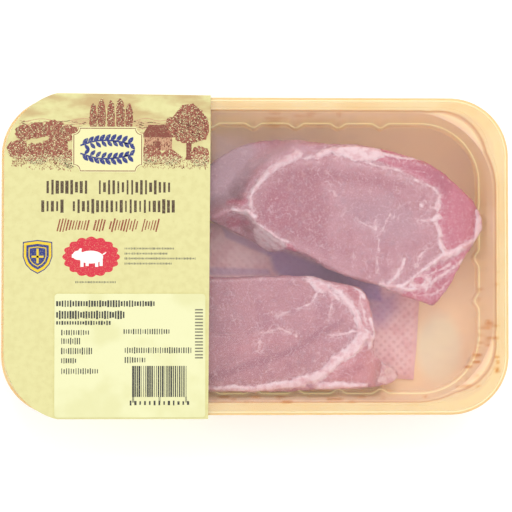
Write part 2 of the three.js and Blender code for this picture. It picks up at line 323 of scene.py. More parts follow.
def prisms(outlines: list[Array], low: float, high: float) -> tuple[Array, list]:
    """Makes flat-topped solids, one for each outline.

    Args:
        outlines: x and y of each outline's points, either way round.
        low: the height of the undersides.
        high: the height of the tops.

    Returns:
        The points and the faces of them all.
    """
    points, faces = [], []
    for outline in outlines:
        outline = np.asarray(outline, float)
        x, y = outline.T
        if np.sum(x * np.roll(y, -1) - np.roll(x, -1) * y) < 0:
            outline = outline[::-1]
        count, base = len(outline), len(points)
        for height in (low, high):
            points += [(*point, height) for point in outline]
        for a, b, c in triangles(outline):
            turn = np.cross(outline[b] - outline[a], outline[c] - outline[a])
            a, b, c = (a, b, c) if turn > 0 else (a, c, b)
            faces += [[base + c, base + b, base + a], [base + count + a, base + count + b, base + count + c]]
        for i in range(count):
            j = (i + 1) % count
            faces.append([base + i, base + j, base + count + j, base + count + i])
    return np.array(points), faces


@dataclass(frozen=True)
class Levels:
    """Heights above the table in millimetres, read from the frame but for the tray's base."""

    rim_top: float
    pad_low: float
    pad_high: float
    chop_base: float
    film_high: float
    sleeve_top: float
    label_high: float
    tray_base: float = 0.75

    @property
    def paper_top(self) -> float:
        """The top of the label's paper, which leaves room for its ink."""
        return self.label_high - 0.1

    @classmethod
    def from_frame(cls) -> "Levels":
        """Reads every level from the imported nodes' boxes."""
        nodes = ("tray", "soaker_pad", "chop_upper", "lid_film", "card_sleeve", "price_label")
        tray, pad, chop, film, sleeve, label = ([end.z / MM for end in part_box(node)] for node in nodes)
        return cls(tray[1], pad[0], pad[1], chop[0], film[1], sleeve[1], label[1])


def bare_material(name: str) -> Material:
    """Makes a material whose tree has no nodes yet."""
    material = bpy.data.materials.new(name)
    material.use_nodes = True
    material.node_tree.nodes.clear()
    return material


def dressed(
    material: Material,
    inputs: dict,
    height: Node | None = None,
    relief_mm: float = 0.0,
    strength: float = 0.5,
) -> Material:
    """Closes a material with one Principled shader.

    Args:
        material: the material, with the nodes that feed the shader.
        inputs: a value, a node or a socket for each of the shader's inputs.
        height: the fine relief, or None for an even surface.
        relief_mm: how high the relief is.
        strength: how strongly it shows.

    Returns:
        The same material.
    """
    tree = material.node_tree
    if height:
        relief = {"Height": height, "Distance": relief_mm * MM, "Strength": strength}
        inputs = {**inputs, "Normal": add_node(tree, "ShaderNodeBump", relief)}
    shader = add_node(tree, "ShaderNodeBsdfPrincipled", inputs)
    add_node(tree, "ShaderNodeOutputMaterial", {"Surface": shader})
    return material


def read_shares(tree: NodeTree, *names: str) -> tuple[NodeSocket, ...]:
    """Returns the socket of each of the mesh's named values."""
    nodes = (add_node(tree, "ShaderNodeAttribute", attribute_name=name) for name in names)
    return tuple(node.outputs["Fac"] for node in nodes)


def painted(tree: NodeTree, base: str, coats: tuple) -> NodeSocket:
    """Lays colours over one another.

    Args:
        tree: the material's tree.
        base: the lowest colour, in hex.
        coats: for each colour above it, the share of it that shows, and the colour, in hex or as a socket.

    Returns:
        The finished colour's socket.
    """
    colour = linear(base)
    for share, over in coats:
        top = linear(over) if isinstance(over, str) else over
        mixed = add_node(tree, "ShaderNodeMix", {0: share, 6: colour, 7: top}, data_type="RGBA")
        colour = mixed.outputs[2]
    return colour


@dataclass(frozen=True)
class Mottle:
    """Random patches of one real size.

    Attributes:
        size_mm: about how wide the patches are.
        low: the noise value where a patch begins.
        high: the noise value from which it is full.
        most: its greatest share.
        detail: how many finer scales of noise it has.
        stretch: how many times finer it is along X, Y and Z.
        turn: how far it is turned about Z, in degrees.
        winding: whether it follows the fine winding lines where the noise passes its middle.
    """

    size_mm: float
    low: float = 0.0
    high: float = 1.0
    most: float = 1.0
    detail: float = 3.0
    stretch: tuple = (1.0, 1.0, 1.0)
    turn: float = 0.0
    winding: bool = False

    def noise(self, tree: NodeTree) -> Node:
        """Adds the bare noise."""
        place = add_node(tree, "ShaderNodeTexCoord").outputs["Object"]
        turned = (0.0, 0.0, math.radians(self.turn))
        inputs = {"Vector": place, "Rotation": turned, "Scale": self.stretch}
        laid = add_node(tree, "ShaderNodeMapping", inputs)
        inputs = {"Vector": laid, "Scale": 1 / (self.size_mm * MM), "Detail": self.detail}
        return add_node(tree, "ShaderNodeTexNoise", inputs)

    def share(self, tree: NodeTree) -> Node:
        """Adds the patches, which rise smoothly from 0 to their greatest share."""
        value = self.noise(tree)
        if self.winding:
            off = add_node(tree, "ShaderNodeMath", {0: value, 1: 0.5}, operation="SUBTRACT")
            value = add_node(tree, "ShaderNodeMath", {0: off}, operation="ABSOLUTE")
        inputs = {"Value": value, "From Min": self.low, "From Max": self.high, "To Max": self.most}
        return add_node(tree, "ShaderNodeMapRange", inputs, interpolation_type="SMOOTHSTEP")


@dataclass(frozen=True)
class Specks:
    """Sparse round specks.

    Attributes:
        spacing_mm: about how far apart they are.
        radius: their radius, as a share of the spacing.
        most: their greatest share.
        core: the share of the radius within which they are full.
    """

    spacing_mm: float
    radius: float
    most: float
    core: float = 0.35

    def share(self, tree: NodeTree) -> Node:
        """Adds the specks."""
        place = add_node(tree, "ShaderNodeTexCoord").outputs["Object"]
        cells = add_node(tree, "ShaderNodeTexVoronoi", {"Vector": place, "Scale": 1 / (self.spacing_mm * MM)})
        limits = {"From Min": self.radius, "From Max": self.radius * self.core, "To Max": self.most}
        inputs = {"Value": cells, **limits}
        return add_node(tree, "ShaderNodeMapRange", inputs, interpolation_type="SMOOTHSTEP")


@dataclass(frozen=True)
class FormedPolypropylene:
    """Cream polypropylene sheet, drawn over a mould: satin, faintly uneven, and lit through in places.

    The bead round the floor, the ridge by the rim and the corner recesses carry a painted highlight in their
    colour, and the bead and the recesses a faint painted glow by emission. The inner wall is painted lighter
    and pinker for light that comes through the sheet and off the meat, the inner bend of the flange and a
    line above the bead carry painted shade, the rolled lip is deeper, and the floor has one painted patch of
    glare.
    """

    colour: str = "#E1C79F"
    deep_colour: str = "#DCBB8E"
    # Painted light: the inner wall is coloured lighter and pinker for light through the sheet and off the
    # meat.
    painted_inner_wall_light: str = "#FFCFB4"
    highlight_colour: str = "#FFEDC4"
    thick_floor: str = "#FFEBB9"
    # Colour of the painted shade in the flange's inner bend and above the bead.
    painted_edge_shade: str = "#D8A878"
    glare: str = "#F5F3CA"
    lip: str = "#DDB980"
    mottle: Mottle = Mottle(26.0, 0.35, 0.7)
    grain: Mottle = Mottle(0.5, detail=2.0)
    grain_mm: float = 0.012
    # Strength and colour of the painted glow on the bead and the corner recesses.
    glow: float = 0.24
    glow_colour: str = "#FFE8BE"
    # Place, size and fade of the painted glare, a soft highlight laid into the floor's colour.
    glare_place: tuple = (88.0, -43.0, 2.0)
    glare_size: tuple = (11.0, 17.0, 40.0)
    glare_fade: tuple = (1.15, 0.75)

    def material(self) -> Material:
        """Builds the material."""
        material = bare_material("formed_polypropylene")
        tree = material.node_tree
        names = ("painted_highlight", "lipped", "lit_through", "edge_shade", "painted_inner_wall_light", "painted_glow")
        painted_highlight, lipped, lit_through, edge_shade, painted_inner_wall_light, painted_glow = read_shares(tree, *names)
        place = add_node(tree, "ShaderNodeTexCoord").outputs["Object"]
        middle = tuple(-at / size for at, size in zip(self.glare_place, self.glare_size))
        scale = tuple(1 / (size * MM) for size in self.glare_size)
        near = add_node(tree, "ShaderNodeMapping", {"Vector": place, "Location": middle, "Scale": scale})
        away = add_node(tree, "ShaderNodeVectorMath", {0: near}, operation="LENGTH").outputs["Value"]
        outer, inner = self.glare_fade
        glare = add_node(tree, "ShaderNodeMapRange", {"Value": away, "From Min": outer, "From Max": inner})
        uneven = (self.mottle.share(tree), self.deep_colour)
        # The inner wall's painted light, lighter and pinker than the rest of the sheet, is laid here.
        walls = painted(tree, self.colour, (uneven, (painted_inner_wall_light, self.painted_inner_wall_light)))
        # The bead, the ridge and the corner recesses get a painted highlight, and the bent edge painted
        # shade.
        edges = ((painted_highlight, self.highlight_colour), (edge_shade, self.painted_edge_shade), (lipped, self.lip))
        coats = ((glare, self.glare), (lit_through, walls), *edges)
        # Painted glow: the bead and the corner recesses give off a faint emission that stands in for their
        # glint.
        glow = add_node(tree, "ShaderNodeMath", {0: painted_glow, 1: self.glow}, operation="MULTIPLY")
        inputs = {
            "Base Color": painted(tree, self.thick_floor, coats),
            "Emission Color": linear(self.glow_colour),
            "Emission Strength": glow,
            "Roughness": 0.3,
            "IOR": 1.49,
            "Subsurface Weight": lit_through,
            "Subsurface Radius": (1.0, 0.8, 0.6),
            "Subsurface Scale": 3.5 * MM,
        }
        return dressed(material, inputs, self.grain.noise(tree), self.grain_mm, 0.4)


@dataclass(frozen=True)
class LiddingFilm:
    """Clear polyethylene lidding film: a faint mauve veil, and a gloss that strengthens at a slant.

    The veil streaks at random and is thicker in patches, which are partly moisture under the film and partly
    a painted reflection; there is none along the weld. It scatters light both ways, so that it veils what
    lies below without darkening it.
    """

    tint: str = "#FFFDFD"
    crease: str = "#EFCFAE"
    veil: str = "#EAD0DA"
    veil_share: float = 0.06
    roughness: float = 0.12

    def material(self) -> Material:
        """Builds the material."""
        material = bare_material("clear_lidding_film")
        tree = material.node_tree
        veiled, creased = read_shares(tree, "veil", "crease")
        tone = painted(tree, self.tint, ((creased, self.crease),))
        clear = add_node(tree, "ShaderNodeBsdfTransparent", {"Color": tone})
        back = add_node(tree, "ShaderNodeBsdfDiffuse", {"Color": linear(self.veil)})
        through = add_node(tree, "ShaderNodeBsdfTranslucent", {"Color": linear(self.veil)})
        milky = add_node(tree, "ShaderNodeMixShader", {0: 0.5, 1: back, 2: through})
        share = add_node(tree, "ShaderNodeMath", {0: veiled, 1: self.veil_share}, operation="MULTIPLY")
        hazy = add_node(tree, "ShaderNodeMixShader", {0: share, 1: clear, 2: milky})
        gloss = add_node(tree, "ShaderNodeBsdfGlossy", {"Roughness": self.roughness})
        slant = add_node(tree, "ShaderNodeFresnel", {"IOR": 1.38})
        inward = add_node(tree, "ShaderNodeNewGeometry").outputs["Backfacing"]
        outside = add_node(tree, "ShaderNodeMath", {0: 1.0, 1: inward}, operation="SUBTRACT")
        shine = add_node(tree, "ShaderNodeMath", {0: slant, 1: outside}, operation="MULTIPLY")
        mixed = add_node(tree, "ShaderNodeMixShader", {0: shine, 1: hazy, 2: gloss})
        add_node(tree, "ShaderNodeOutputMaterial", {"Surface": mixed})
        return material


@dataclass(frozen=True)
class SoakedPad:
    """Point-bonded absorbent pad, wet with pink juice, with a lattice of small pressed dots."""

    colour: str = "#F4D5D4"
    wet_colour: str = "#E8BDC0"
    dot_colour: str = "#CE9595"
    # Colour of the painted shadow that the chops cast on the pad.
    painted_shadow_colour: str = "#AE94C4"
    blots: Mottle = Mottle(7.0, 0.38, 0.68, detail=4.0)
    fibre: Mottle = Mottle(0.6, detail=4.0)
    fibre_mm: float = 0.06
    dot_share: float = 0.38

    def material(self) -> Material:
        """Builds the material."""
        material = bare_material("soaked_pad")
        tree = material.node_tree
        pressed, drained = read_shares(tree, "pressed", "drained")
        dots = add_node(tree, "ShaderNodeMath", {0: pressed, 1: self.dot_share}, operation="MULTIPLY")
        # The last coat is painted shadow, where the chops shade the pad.
        coats = ((self.blots.share(tree), self.wet_colour), (dots, self.dot_colour), (drained, self.painted_shadow_colour))
        inputs = {
            "Base Color": painted(tree, self.colour, coats),
            "Roughness": 0.45,
            "Subsurface Weight": 0.2,
            "Subsurface Radius": (1.0, 0.5, 0.4),
            "Subsurface Scale": 1.2 * MM,
        }
        return dressed(material, inputs, self.fibre.noise(tree), self.fibre_mm)


@dataclass(frozen=True)
class RawPork:
    """Raw pork loin: moist pink muscle with short pale fibres and flecks, deeper red muscles, and opaque fat.

    The mesh carries how deep each point lies in fat (millimetres, negative in muscle) and how deep in colour
    its muscle is, some of it painted shade and painted sheen. Noise frays the edge between fat and muscle
    finer than the mesh does.
    """

    name: str
    muscle: str = "#BD8E98"
    dull_tone_and_shade: str = "#A86F7C"
    red: str = "#C47085"
    deep_red: str = "#AC566E"
    cool_shade_and_sheen: str = "#AB8F9B"
    warm: str = "#B38082"
    fat: str = "#ECD9DD"
    fat_shade: str = "#DAB1B8"
    fleck: str = "#DDC0C5"
    pore: str = "#96646C"
    patches: Mottle = Mottle(9.0, 0.42, 0.68, 0.6, detail=5.0)
    blush: Mottle = Mottle(3.4, 0.5, 0.68, 0.45, detail=4.0)
    ruddy: Mottle = Mottle(8.0, 0.42, 0.7, 0.6, detail=4.0, stretch=(1.0, 0.5, 1.0), turn=30.0)
    chill: Mottle = Mottle(2.6, 0.52, 0.7, 0.35, detail=4.0, turn=40.0)
    fibres: Mottle = Mottle(1.4, 0.55, 0.74, 0.34, detail=4.0, stretch=(1.0, 0.6, 1.0), turn=24.0)
    grain: Mottle = Mottle(0.8, 0.48, 0.76, 0.4, detail=5.0)
    flecks: Specks = Specks(2.1, 0.2, 0.6)
    pores: Specks = Specks(4.3, 0.09, 0.5)
    squiggles: Mottle = Mottle(6.5, 0.022, 0.0, 0.34, detail=2.5, winding=True)
    squiggly_areas: Mottle = Mottle(8.0, 0.52, 0.62, detail=2.0)
    web: Mottle = Mottle(3.6, 0.07, 0.0, 0.42, detail=4.0, winding=True)
    web_reach_mm: float = 3.2
    frays: tuple = ((Mottle(3.2, detail=5.0), 2.2), (Mottle(0.9, detail=4.0), 0.6))
    fat_edge_mm: tuple = (0.7, 1.95)
    fat_clouds: Mottle = Mottle(3.0, 0.42, 0.72)
    fine_relief: Mottle = Mottle(0.7)
    broad_relief: Mottle = Mottle(3.0, detail=2.0)
    relief_mm: float = 0.24

    def fat_share(self, tree: NodeTree, fat_depth: NodeSocket) -> Node:
        """Adds how much of each point is fat, with a frayed edge."""
        frayed = fat_depth
        for fray, reach in self.frays:
            inputs = {0: fray.noise(tree), 1: reach, 2: frayed}
            frayed = add_node(tree, "ShaderNodeMath", inputs, operation="MULTIPLY_ADD")
        bare, full = self.fat_edge_mm
        inputs = {"Value": frayed, "From Min": bare, "From Max": full}
        return add_node(tree, "ShaderNodeMapRange", inputs, interpolation_type="SMOOTHSTEP")

    def material(self) -> Material:
        """Builds the material."""
        material = bare_material(self.name)
        tree = material.node_tree
        fat_depth, redness, dullness_and_shade, cool_shade_and_sheen = read_shares(tree, "fat_depth", "redness", "dullness_and_shade", "cool_shade_and_sheen")
        threads = (self.squiggles.share(tree), self.squiggly_areas.share(tree))
        marbled = add_node(tree, "ShaderNodeMath", dict(enumerate(threads)), operation="MULTIPLY")
        reach = {"Value": fat_depth, "From Min": -self.web_reach_mm, "From Max": 0.0}
        near = add_node(tree, "ShaderNodeMapRange", reach)
        webbed = add_node(tree, "ShaderNodeMath", {0: near, 1: self.web.share(tree)}, operation="MULTIPLY")
        fat = painted(tree, self.fat, ((self.fat_clouds.share(tree), self.fat_shade),))
        red = painted(tree, self.red, ((self.ruddy.share(tree), self.deep_red), (dullness_and_shade, self.deep_red)))
        coats = (
            (self.patches.share(tree), self.dull_tone_and_shade),
            # This darkens muscle that is duller, and in places it is painted shade.
            (dullness_and_shade, self.dull_tone_and_shade),
            (self.blush.share(tree), self.warm),
            # This turns muscle bluish, which on the upper chop is painted shade and painted sheen.
            (cool_shade_and_sheen, self.cool_shade_and_sheen),
            (self.chill.share(tree), self.cool_shade_and_sheen),
            (redness, red),
            (self.grain.share(tree), self.fleck),
            (self.fibres.share(tree), self.fleck),
            (self.flecks.share(tree), self.fleck),
            (self.pores.share(tree), self.pore),
            (marbled, self.fat),
            (webbed, self.fat),
            (self.fat_share(tree, fat_depth), fat),
        )
        bumps = {0: self.fine_relief.noise(tree), 1: self.broad_relief.noise(tree)}
        height = add_node(tree, "ShaderNodeMath", bumps, operation="ADD")
        inputs = {
            "Base Color": painted(tree, self.muscle, coats),
            "Roughness": 0.45,
            "IOR": 1.4,
            "Coat Weight": 0.6,
            "Coat Roughness": 0.16,
            "Subsurface Weight": 0.25,
            "Subsurface Radius": (1.0, 0.35, 0.3),
            "Subsurface Scale": 1.6 * MM,
        }
        return dressed(material, inputs, height, self.relief_mm, 0.6)


@dataclass(frozen=True)
class TintedCard:
    """Cartonboard with a flat printed tint: matt, with paper fibre, specks and a banked brown wash."""

    colour: str = "#DAD497"
    shade: str = "#D4CD90"
    speck: str = "#B9B077"
    wash: str = "#BFA370"
    clouds: Mottle = Mottle(3.0, 0.35, 0.7, detail=4.0)
    specks: Specks = Specks(1.7, 0.12, 0.5)
    banks: Mottle = Mottle(7.0, 0.38, 0.62, 0.9, detail=5.0, stretch=(0.35, 1.0, 1.0))
    fibre: Mottle = Mottle(0.4)
    fibre_mm: float = 0.02
    wash_mm: tuple = (40.0, 66.0)
    panel_mm: tuple = (39.0, 41.0)

    def material(self) -> Material:
        """Builds the material, with a wash that deepens towards the back of the top panel."""
        material = bare_material("tinted_card")
        tree = material.node_tree
        place = add_node(tree, "ShaderNodeTexCoord").outputs["Object"]
        axes = add_node(tree, "ShaderNodeSeparateXYZ", {0: place})
        wash = self.banks.share(tree)
        for axis, (low, high) in (("Y", self.wash_mm), ("Z", self.panel_mm)):
            inputs = {"Value": axes.outputs[axis], "From Min": low * MM, "From Max": high * MM}
            rise = add_node(tree, "ShaderNodeMapRange", inputs)
            wash = add_node(tree, "ShaderNodeMath", {0: wash, 1: rise}, operation="MULTIPLY")
        clouds, specks = self.clouds.share(tree), self.specks.share(tree)
        coats = ((clouds, self.shade), (specks, self.speck), (wash, self.wash))
        inputs = {"Base Color": painted(tree, self.colour, coats), "Roughness": 0.62}
        return dressed(material, inputs, self.fibre.noise(tree), self.fibre_mm)


@dataclass(frozen=True)
class ThermalPaper:
    """Smooth direct-thermal label paper, pale yellow, with soft creases pressed in when it was applied."""

    colour: str = "#E4E3B2"
    shade: str = "#DCDAA4"
    creases: Mottle = Mottle(16.0, 0.4, 0.68)
    crease_mm: float = 0.5

    def material(self) -> Material:
        """Builds the material."""
        material = bare_material("thermal_paper")
        tree = material.node_tree
        coats = ((self.creases.share(tree), self.shade),)
        inputs = {"Base Color": painted(tree, self.colour, coats), "Roughness": 0.5}
        return dressed(material, inputs, self.creases.noise(tree), self.crease_mm, 0.35)


class Ink(Enum):
    """The printing inks, by the colour that each dries to."""

    ENGRAVING = "#985440"
    ENGRAVING_PALE = "#C29472"
    ENGRAVING_DEEP = "#7F3D2D"
    TITLE = "#4A3522"
    TAGLINE = "#8C3B26"
    NAVY = "#1E2C78"
    YELLOW = "#E4C41C"
    RED = "#CE1F39"
    WHITE = "#F6F4ED"
    GREY = "#77755F"
    CREAM = "#E6E1A8"
    THERMAL = "#26272B"

    def material(self) -> Material:
        """Builds the ink once, and returns the same one from then on.

        The ink soaks in unevenly, so that the card shows faintly through it in patches of half a millimetre.
        """
        name = "ink_" + self.name.lower()
        if name in bpy.data.materials:
            return bpy.data.materials[name]
        material = bare_material(name)
        tree = material.node_tree
        thin = Mottle(0.55, 0.5, 0.75, 0.3)
        coats = ((thin.share(tree), Ink.CREAM.value),)
        return dressed(material, {"Base Color": painted(tree, self.value, coats), "Roughness": 0.55})


@dataclass(frozen=True)
class Seam:
    """A seam or vein of fat in the cut face.

    Attributes:
        points: x and y of the points that it runs through.
        start: its width at the first point.
        end: its width at the last point.
    """

    points: tuple
    start: float
    end: float

    def depth(self, places: Array) -> Array:
        """Returns how deep each place lies in the seam, negative beside it."""
        distance, along = distance_to_line(places, smooth_curve(self.points, 1.5))
        return (self.start + (self.end - self.start) * along) / 2 - distance


@dataclass(frozen=True)
class Region:
    """An area of the cut face, by its corners, with a value that rises over its soft edge."""

    corners: tuple
    value: float
    soft: float

    def at(self, places: Array) -> Array:
        """Returns the value at each place, 0 outside."""
        return self.value * smoothstep(0, self.soft, inside_depth(places, self.corners))


def total(areas: tuple[Region, ...], places: Array) -> Array:
    """Adds up the areas' values at each place."""
    return np.sum([area.at(places) for area in areas], axis=0)


@dataclass
class Tray:
    """The formed tray, with a rolled rim, ribbed walls, a bead round the floor and four low feet."""

    levels: Levels
    length: float = 230.0
    width: float = 144.0
    sheet: float = 0.8
    rim_radius: float = 26.8
    flange: float = 5.4
    lip_drop: float = 4.5
    wall_top_inset: float = 6.6
    wall_foot_inset: float = 8.1
    floor_inset: float = 9.8
    ledge_rise: float = 2.6
    middle_height: float = 18.0
    wall_top_radius: float = 36.0
    wall_foot_radius: float = 28.2
    recess_floor: float = 36.2
    recess_depth: float = 3.0
    recess_middle: float = math.radians(55)
    recess_half: float = math.radians(27)
    rib_pitch: float = 20.0
    rib_width: float = 9.0
    rib_depth: float = 2.0
    rib_counts: tuple = (3, 7)
    run_points: tuple = (92, 184)
    rounding_limit: float = 0.45
    rounding_bow: float = 0.31
    foot_radius: float = 6.0
    foot_places: tuple = ((-97.0, -46.0), (-97.0, 46.0), (97.0, -46.0), (97.0, 46.0))

    @property
    def ledge(self) -> float:
        """The height of the ledge round the floor, along which the bead runs."""
        return self.levels.tray_base + self.sheet + self.ledge_rise

    def stations(self) -> Array:
        """Returns the wall's levels, up the outside, over the rim and down the inside.

        Each row has the inset from the rim's outer edge, the corner radius, the height, how far the ribs
        bulge inwards and the corner recesses outwards, and how far the edge is rounded to each side.
        """
        top, base, sheet = self.levels.rim_top, self.levels.tray_base, self.sheet
        floor, ledge, lip_foot, middle = base + sheet, self.ledge, top - self.lip_drop, self.middle_height
        middle_inset = (self.wall_top_inset + self.wall_foot_inset) / 2
        middle_radius = (self.wall_top_radius + self.wall_foot_radius) / 2
        rib, recess, shelf = self.rib_depth, self.recess_depth, self.recess_floor
        wide, rim, flange = self.wall_top_radius, self.rim_radius, self.flange
        foot_inset, foot_radius = self.wall_foot_inset, self.wall_foot_radius
        outside = (
            (self.floor_inset + 12, 18, base, 0, 0, 0.2),
            (self.floor_inset - 0.4, 26.4, base, rib, 0, 0.9),
            (foot_inset + 0.2, 28, base + 1.8, rib, 0, 0.6),
            (foot_inset - 0.7, foot_radius + 0.7, ledge - 0.4, rib, 0, 0.6),
            (middle_inset - sheet, middle_radius + 0.7, middle, rib * 0.3, 0, 6),
            (self.wall_top_inset - sheet, wide + 0.7, shelf - 1.8, 0, 0, 0.5),
            (flange + 0.2, wide + 0.4, shelf - sheet, 0, recess - 0.3, 0.5),
            (flange - 0.2, wide + 0.4, top - sheet, 0, recess, 0.5),
            (2.0, rim - 2, top - sheet, 0, 0, 0.6),
            (sheet, rim - sheet, top - 1.9, 0, 0, 0.4),
            (sheet, rim - sheet, lip_foot, 0, 0, 0.2),
            (0.0, rim, lip_foot, 0, 0, 0.25),
            (0.0, rim, top - 1.3, 0, 0, 0.6),
            (0.6, rim - 0.6, top - 0.45, 0, 0, 0.3),
            (1.5, rim - 1.5, top - 0.05, 0, 0, 0.2),
        )
        welded = (
            (1.8, rim - 1.8, top - 0.35, 0, 0, 0.12),
            (2.2, rim - 2.2, top - 0.02, 0, 0, 0.25),
            (flange - 1.1, wide, top - 0.02, 0, recess, 0.2),
            (flange - 0.9, wide, top - 0.22, 0, recess, 0.1),
            (flange - 0.7, wide, top - 0.02, 0, recess, 0.1),
        )
        inside = (
            (flange, wide, top - 0.02, 0, recess, 0.18),
            (flange + 0.5, wide - 0.2, top - 0.6, 0, recess, 0.3),
            (flange + 1, wide - 0.4, shelf, 0, recess - 0.3, 0.3),
            (self.wall_top_inset, wide, shelf - 0.8, 0, 0, 0.3),
            (middle_inset, middle_radius, middle, rib * 0.3, 0, 6),
            (foot_inset, foot_radius, ledge, rib, 0, 0.5),
            (foot_inset + 1, 27.2, ledge - 0.6, rib, 0, 0.3),
            (self.floor_inset, 26.2, floor, rib, 0, 0.8),
            (self.floor_inset + 12, 18, floor, 0, 0, 0.2),
        )
        return np.array((*outside, *welded, *inside), float)

    def wall(self) -> Array:
        """Returns the wall's levels with their edges rounded, one row each."""
        stations = self.stations()
        levels, soft = stations[:, :5], stations[:, 5]
        bow = self.rounding_bow
        rows = [levels[0]]
        for i, corner in enumerate(levels[1:-1], 1):
            for other, shares in ((levels[i - 1], (1.0, bow)), (levels[i + 1], (bow, 1.0))):
                run = other - corner
                length = np.linalg.norm(run[[0, 2]])
                step = run / max(length, 1e-6) * min(soft[i], self.rounding_limit * length)
                rows += [corner + step * share for share in shares]
        return np.array([*rows, levels[-1]])

    def ring(self, row: Array) -> Array:
        """Returns the closed outline of the wall at one level.

        Args:
            row: inset, corner radius, height, rib bulge and recess bulge.
        """
        inset, radius, height, rib, recess = row
        angles = np.linspace(0, math.pi / 2, 33)
        off = np.minimum(1, np.abs(angles - self.recess_middle) / self.recess_half)
        out = radius + recess * np.cos(off * math.pi / 2)
        points = []
        for side in range(4):
            along_x = side % 2
            across, length = (self.width, self.length) if along_x else (self.length, self.width)
            reach, run = across / 2 - inset, length / 2 - inset - radius
            last_rib = self.rib_counts[along_x] // 2
            along = np.linspace(-run, run, self.run_points[along_x])[:-1]
            nearest = np.clip(np.round(along / self.rib_pitch), -last_rib, last_rib) * self.rib_pitch
            share = np.clip(np.abs(along - nearest) / (self.rib_width / 2), 0, 1)
            flat = np.stack([reach - rib * np.cos(share * math.pi / 2) ** 2, along], axis=1)
            bend = np.stack([reach - radius + out * np.cos(angles), run + out * np.sin(angles)], axis=1)
            points.append(np.vstack([flat, bend[:-1]]) @ turned(side * 90))
        outline = np.vstack(points)
        return np.column_stack([outline, np.full(len(outline), height)])

    def tones(self, wall: Array, count: int) -> dict[str, Array]:
        """Works out what the material reads at each point.

        Args:
            wall: the wall's levels.
            count: how many points the tray has.

        Returns:
            How much painted highlight the bead, ridge and recesses get, how much of the lip's colour it has,
            how much light goes through it, how much painted shade its bent inner edge and the line above the
            bead get, where the inner wall is painted lighter and pinker, and how much painted glow the bead
            and recesses give.
        """
        inset, height = wall[:, 0], wall[:, 2]
        ledge = self.ledge
        inside = np.arange(len(wall)) > len(wall) / 2

        def close_to(values: Array, middle: float, reach: float) -> Array:
            """Returns 1 at the middle, falling to nothing a little past the reach."""
            return np.exp(-(((values - middle) / reach) ** 2))

        on_wall = inset > self.wall_foot_inset - 0.6
        # bead, ridge and recess place the painted highlight; the bead and the recesses also get the painted
        # glow.
        bead = close_to(height, ledge - 0.1, 0.45) * on_wall
        ridge = close_to(inset, 1.5, 0.3) * (height > self.levels.rim_top - 1)
        recess = close_to(height, self.recess_floor, 0.5) * (inset > self.flange + 0.6)
        # groove and bend place painted shade: a line above the bead and the flange's inner bend.
        groove = close_to(height, ledge + 1.3, 0.5) * (inset > self.wall_foot_inset - 1.5)
        bend = close_to(inset, self.flange + 0.45, 0.25) * (height > self.recess_floor + 1)
        on_lip = height > self.levels.rim_top - self.lip_drop - 0.5
        around = (count - 2) // len(wall)
        values = {
            "painted_highlight": np.clip(bead + 0.7 * ridge + 0.6 * recess, 0, 1),
            "lipped": smoothstep(1.4, 0.7, inset) * on_lip,
            "lit_through": 0.85 * smoothstep(self.floor_inset + 1.5, self.floor_inset - 0.5, inset),
            "edge_shade": inside * (0.7 * bend + 0.55 * groove),
            "painted_inner_wall_light": inside * smoothstep(self.flange + 0.3, self.flange + 1.0, inset),
            "painted_glow": inside * np.clip(close_to(height, ledge, 0.22) * on_wall + 0.25 * recess, 0, 1),
        }
        return {label: np.append(np.repeat(value, around), [0.0, 0.0]) for label, value in values.items()}

    def build(self) -> Object:
        """Builds the tray and its feet as one piece."""
        wall = self.wall()
        points, faces = loft([self.ring(row) for row in wall])
        tones = self.tones(wall, len(points))
        base = self.levels.tray_base
        around = np.linspace(0, 2 * math.pi, 48, endpoint=False)
        circle = on_circle(around)
        foot = self.foot_radius
        profile = ((foot - 1.0, 0.0), (foot - 0.4, 0.15), (foot, base + 0.2))
        for place in self.foot_places:
            rings = [np.column_stack([circle * r + place, np.full(len(circle), z)]) for r, z in profile]
            foot_points, foot_faces = loft(rings)
            faces += [[len(points) + i for i in face] for face in foot_faces]
            points = np.vstack([points, foot_points])
        obj = new_object("tray_formed", points, faces, 50, FormedPolypropylene().material())
        store(obj.data, **tones)
        return obj


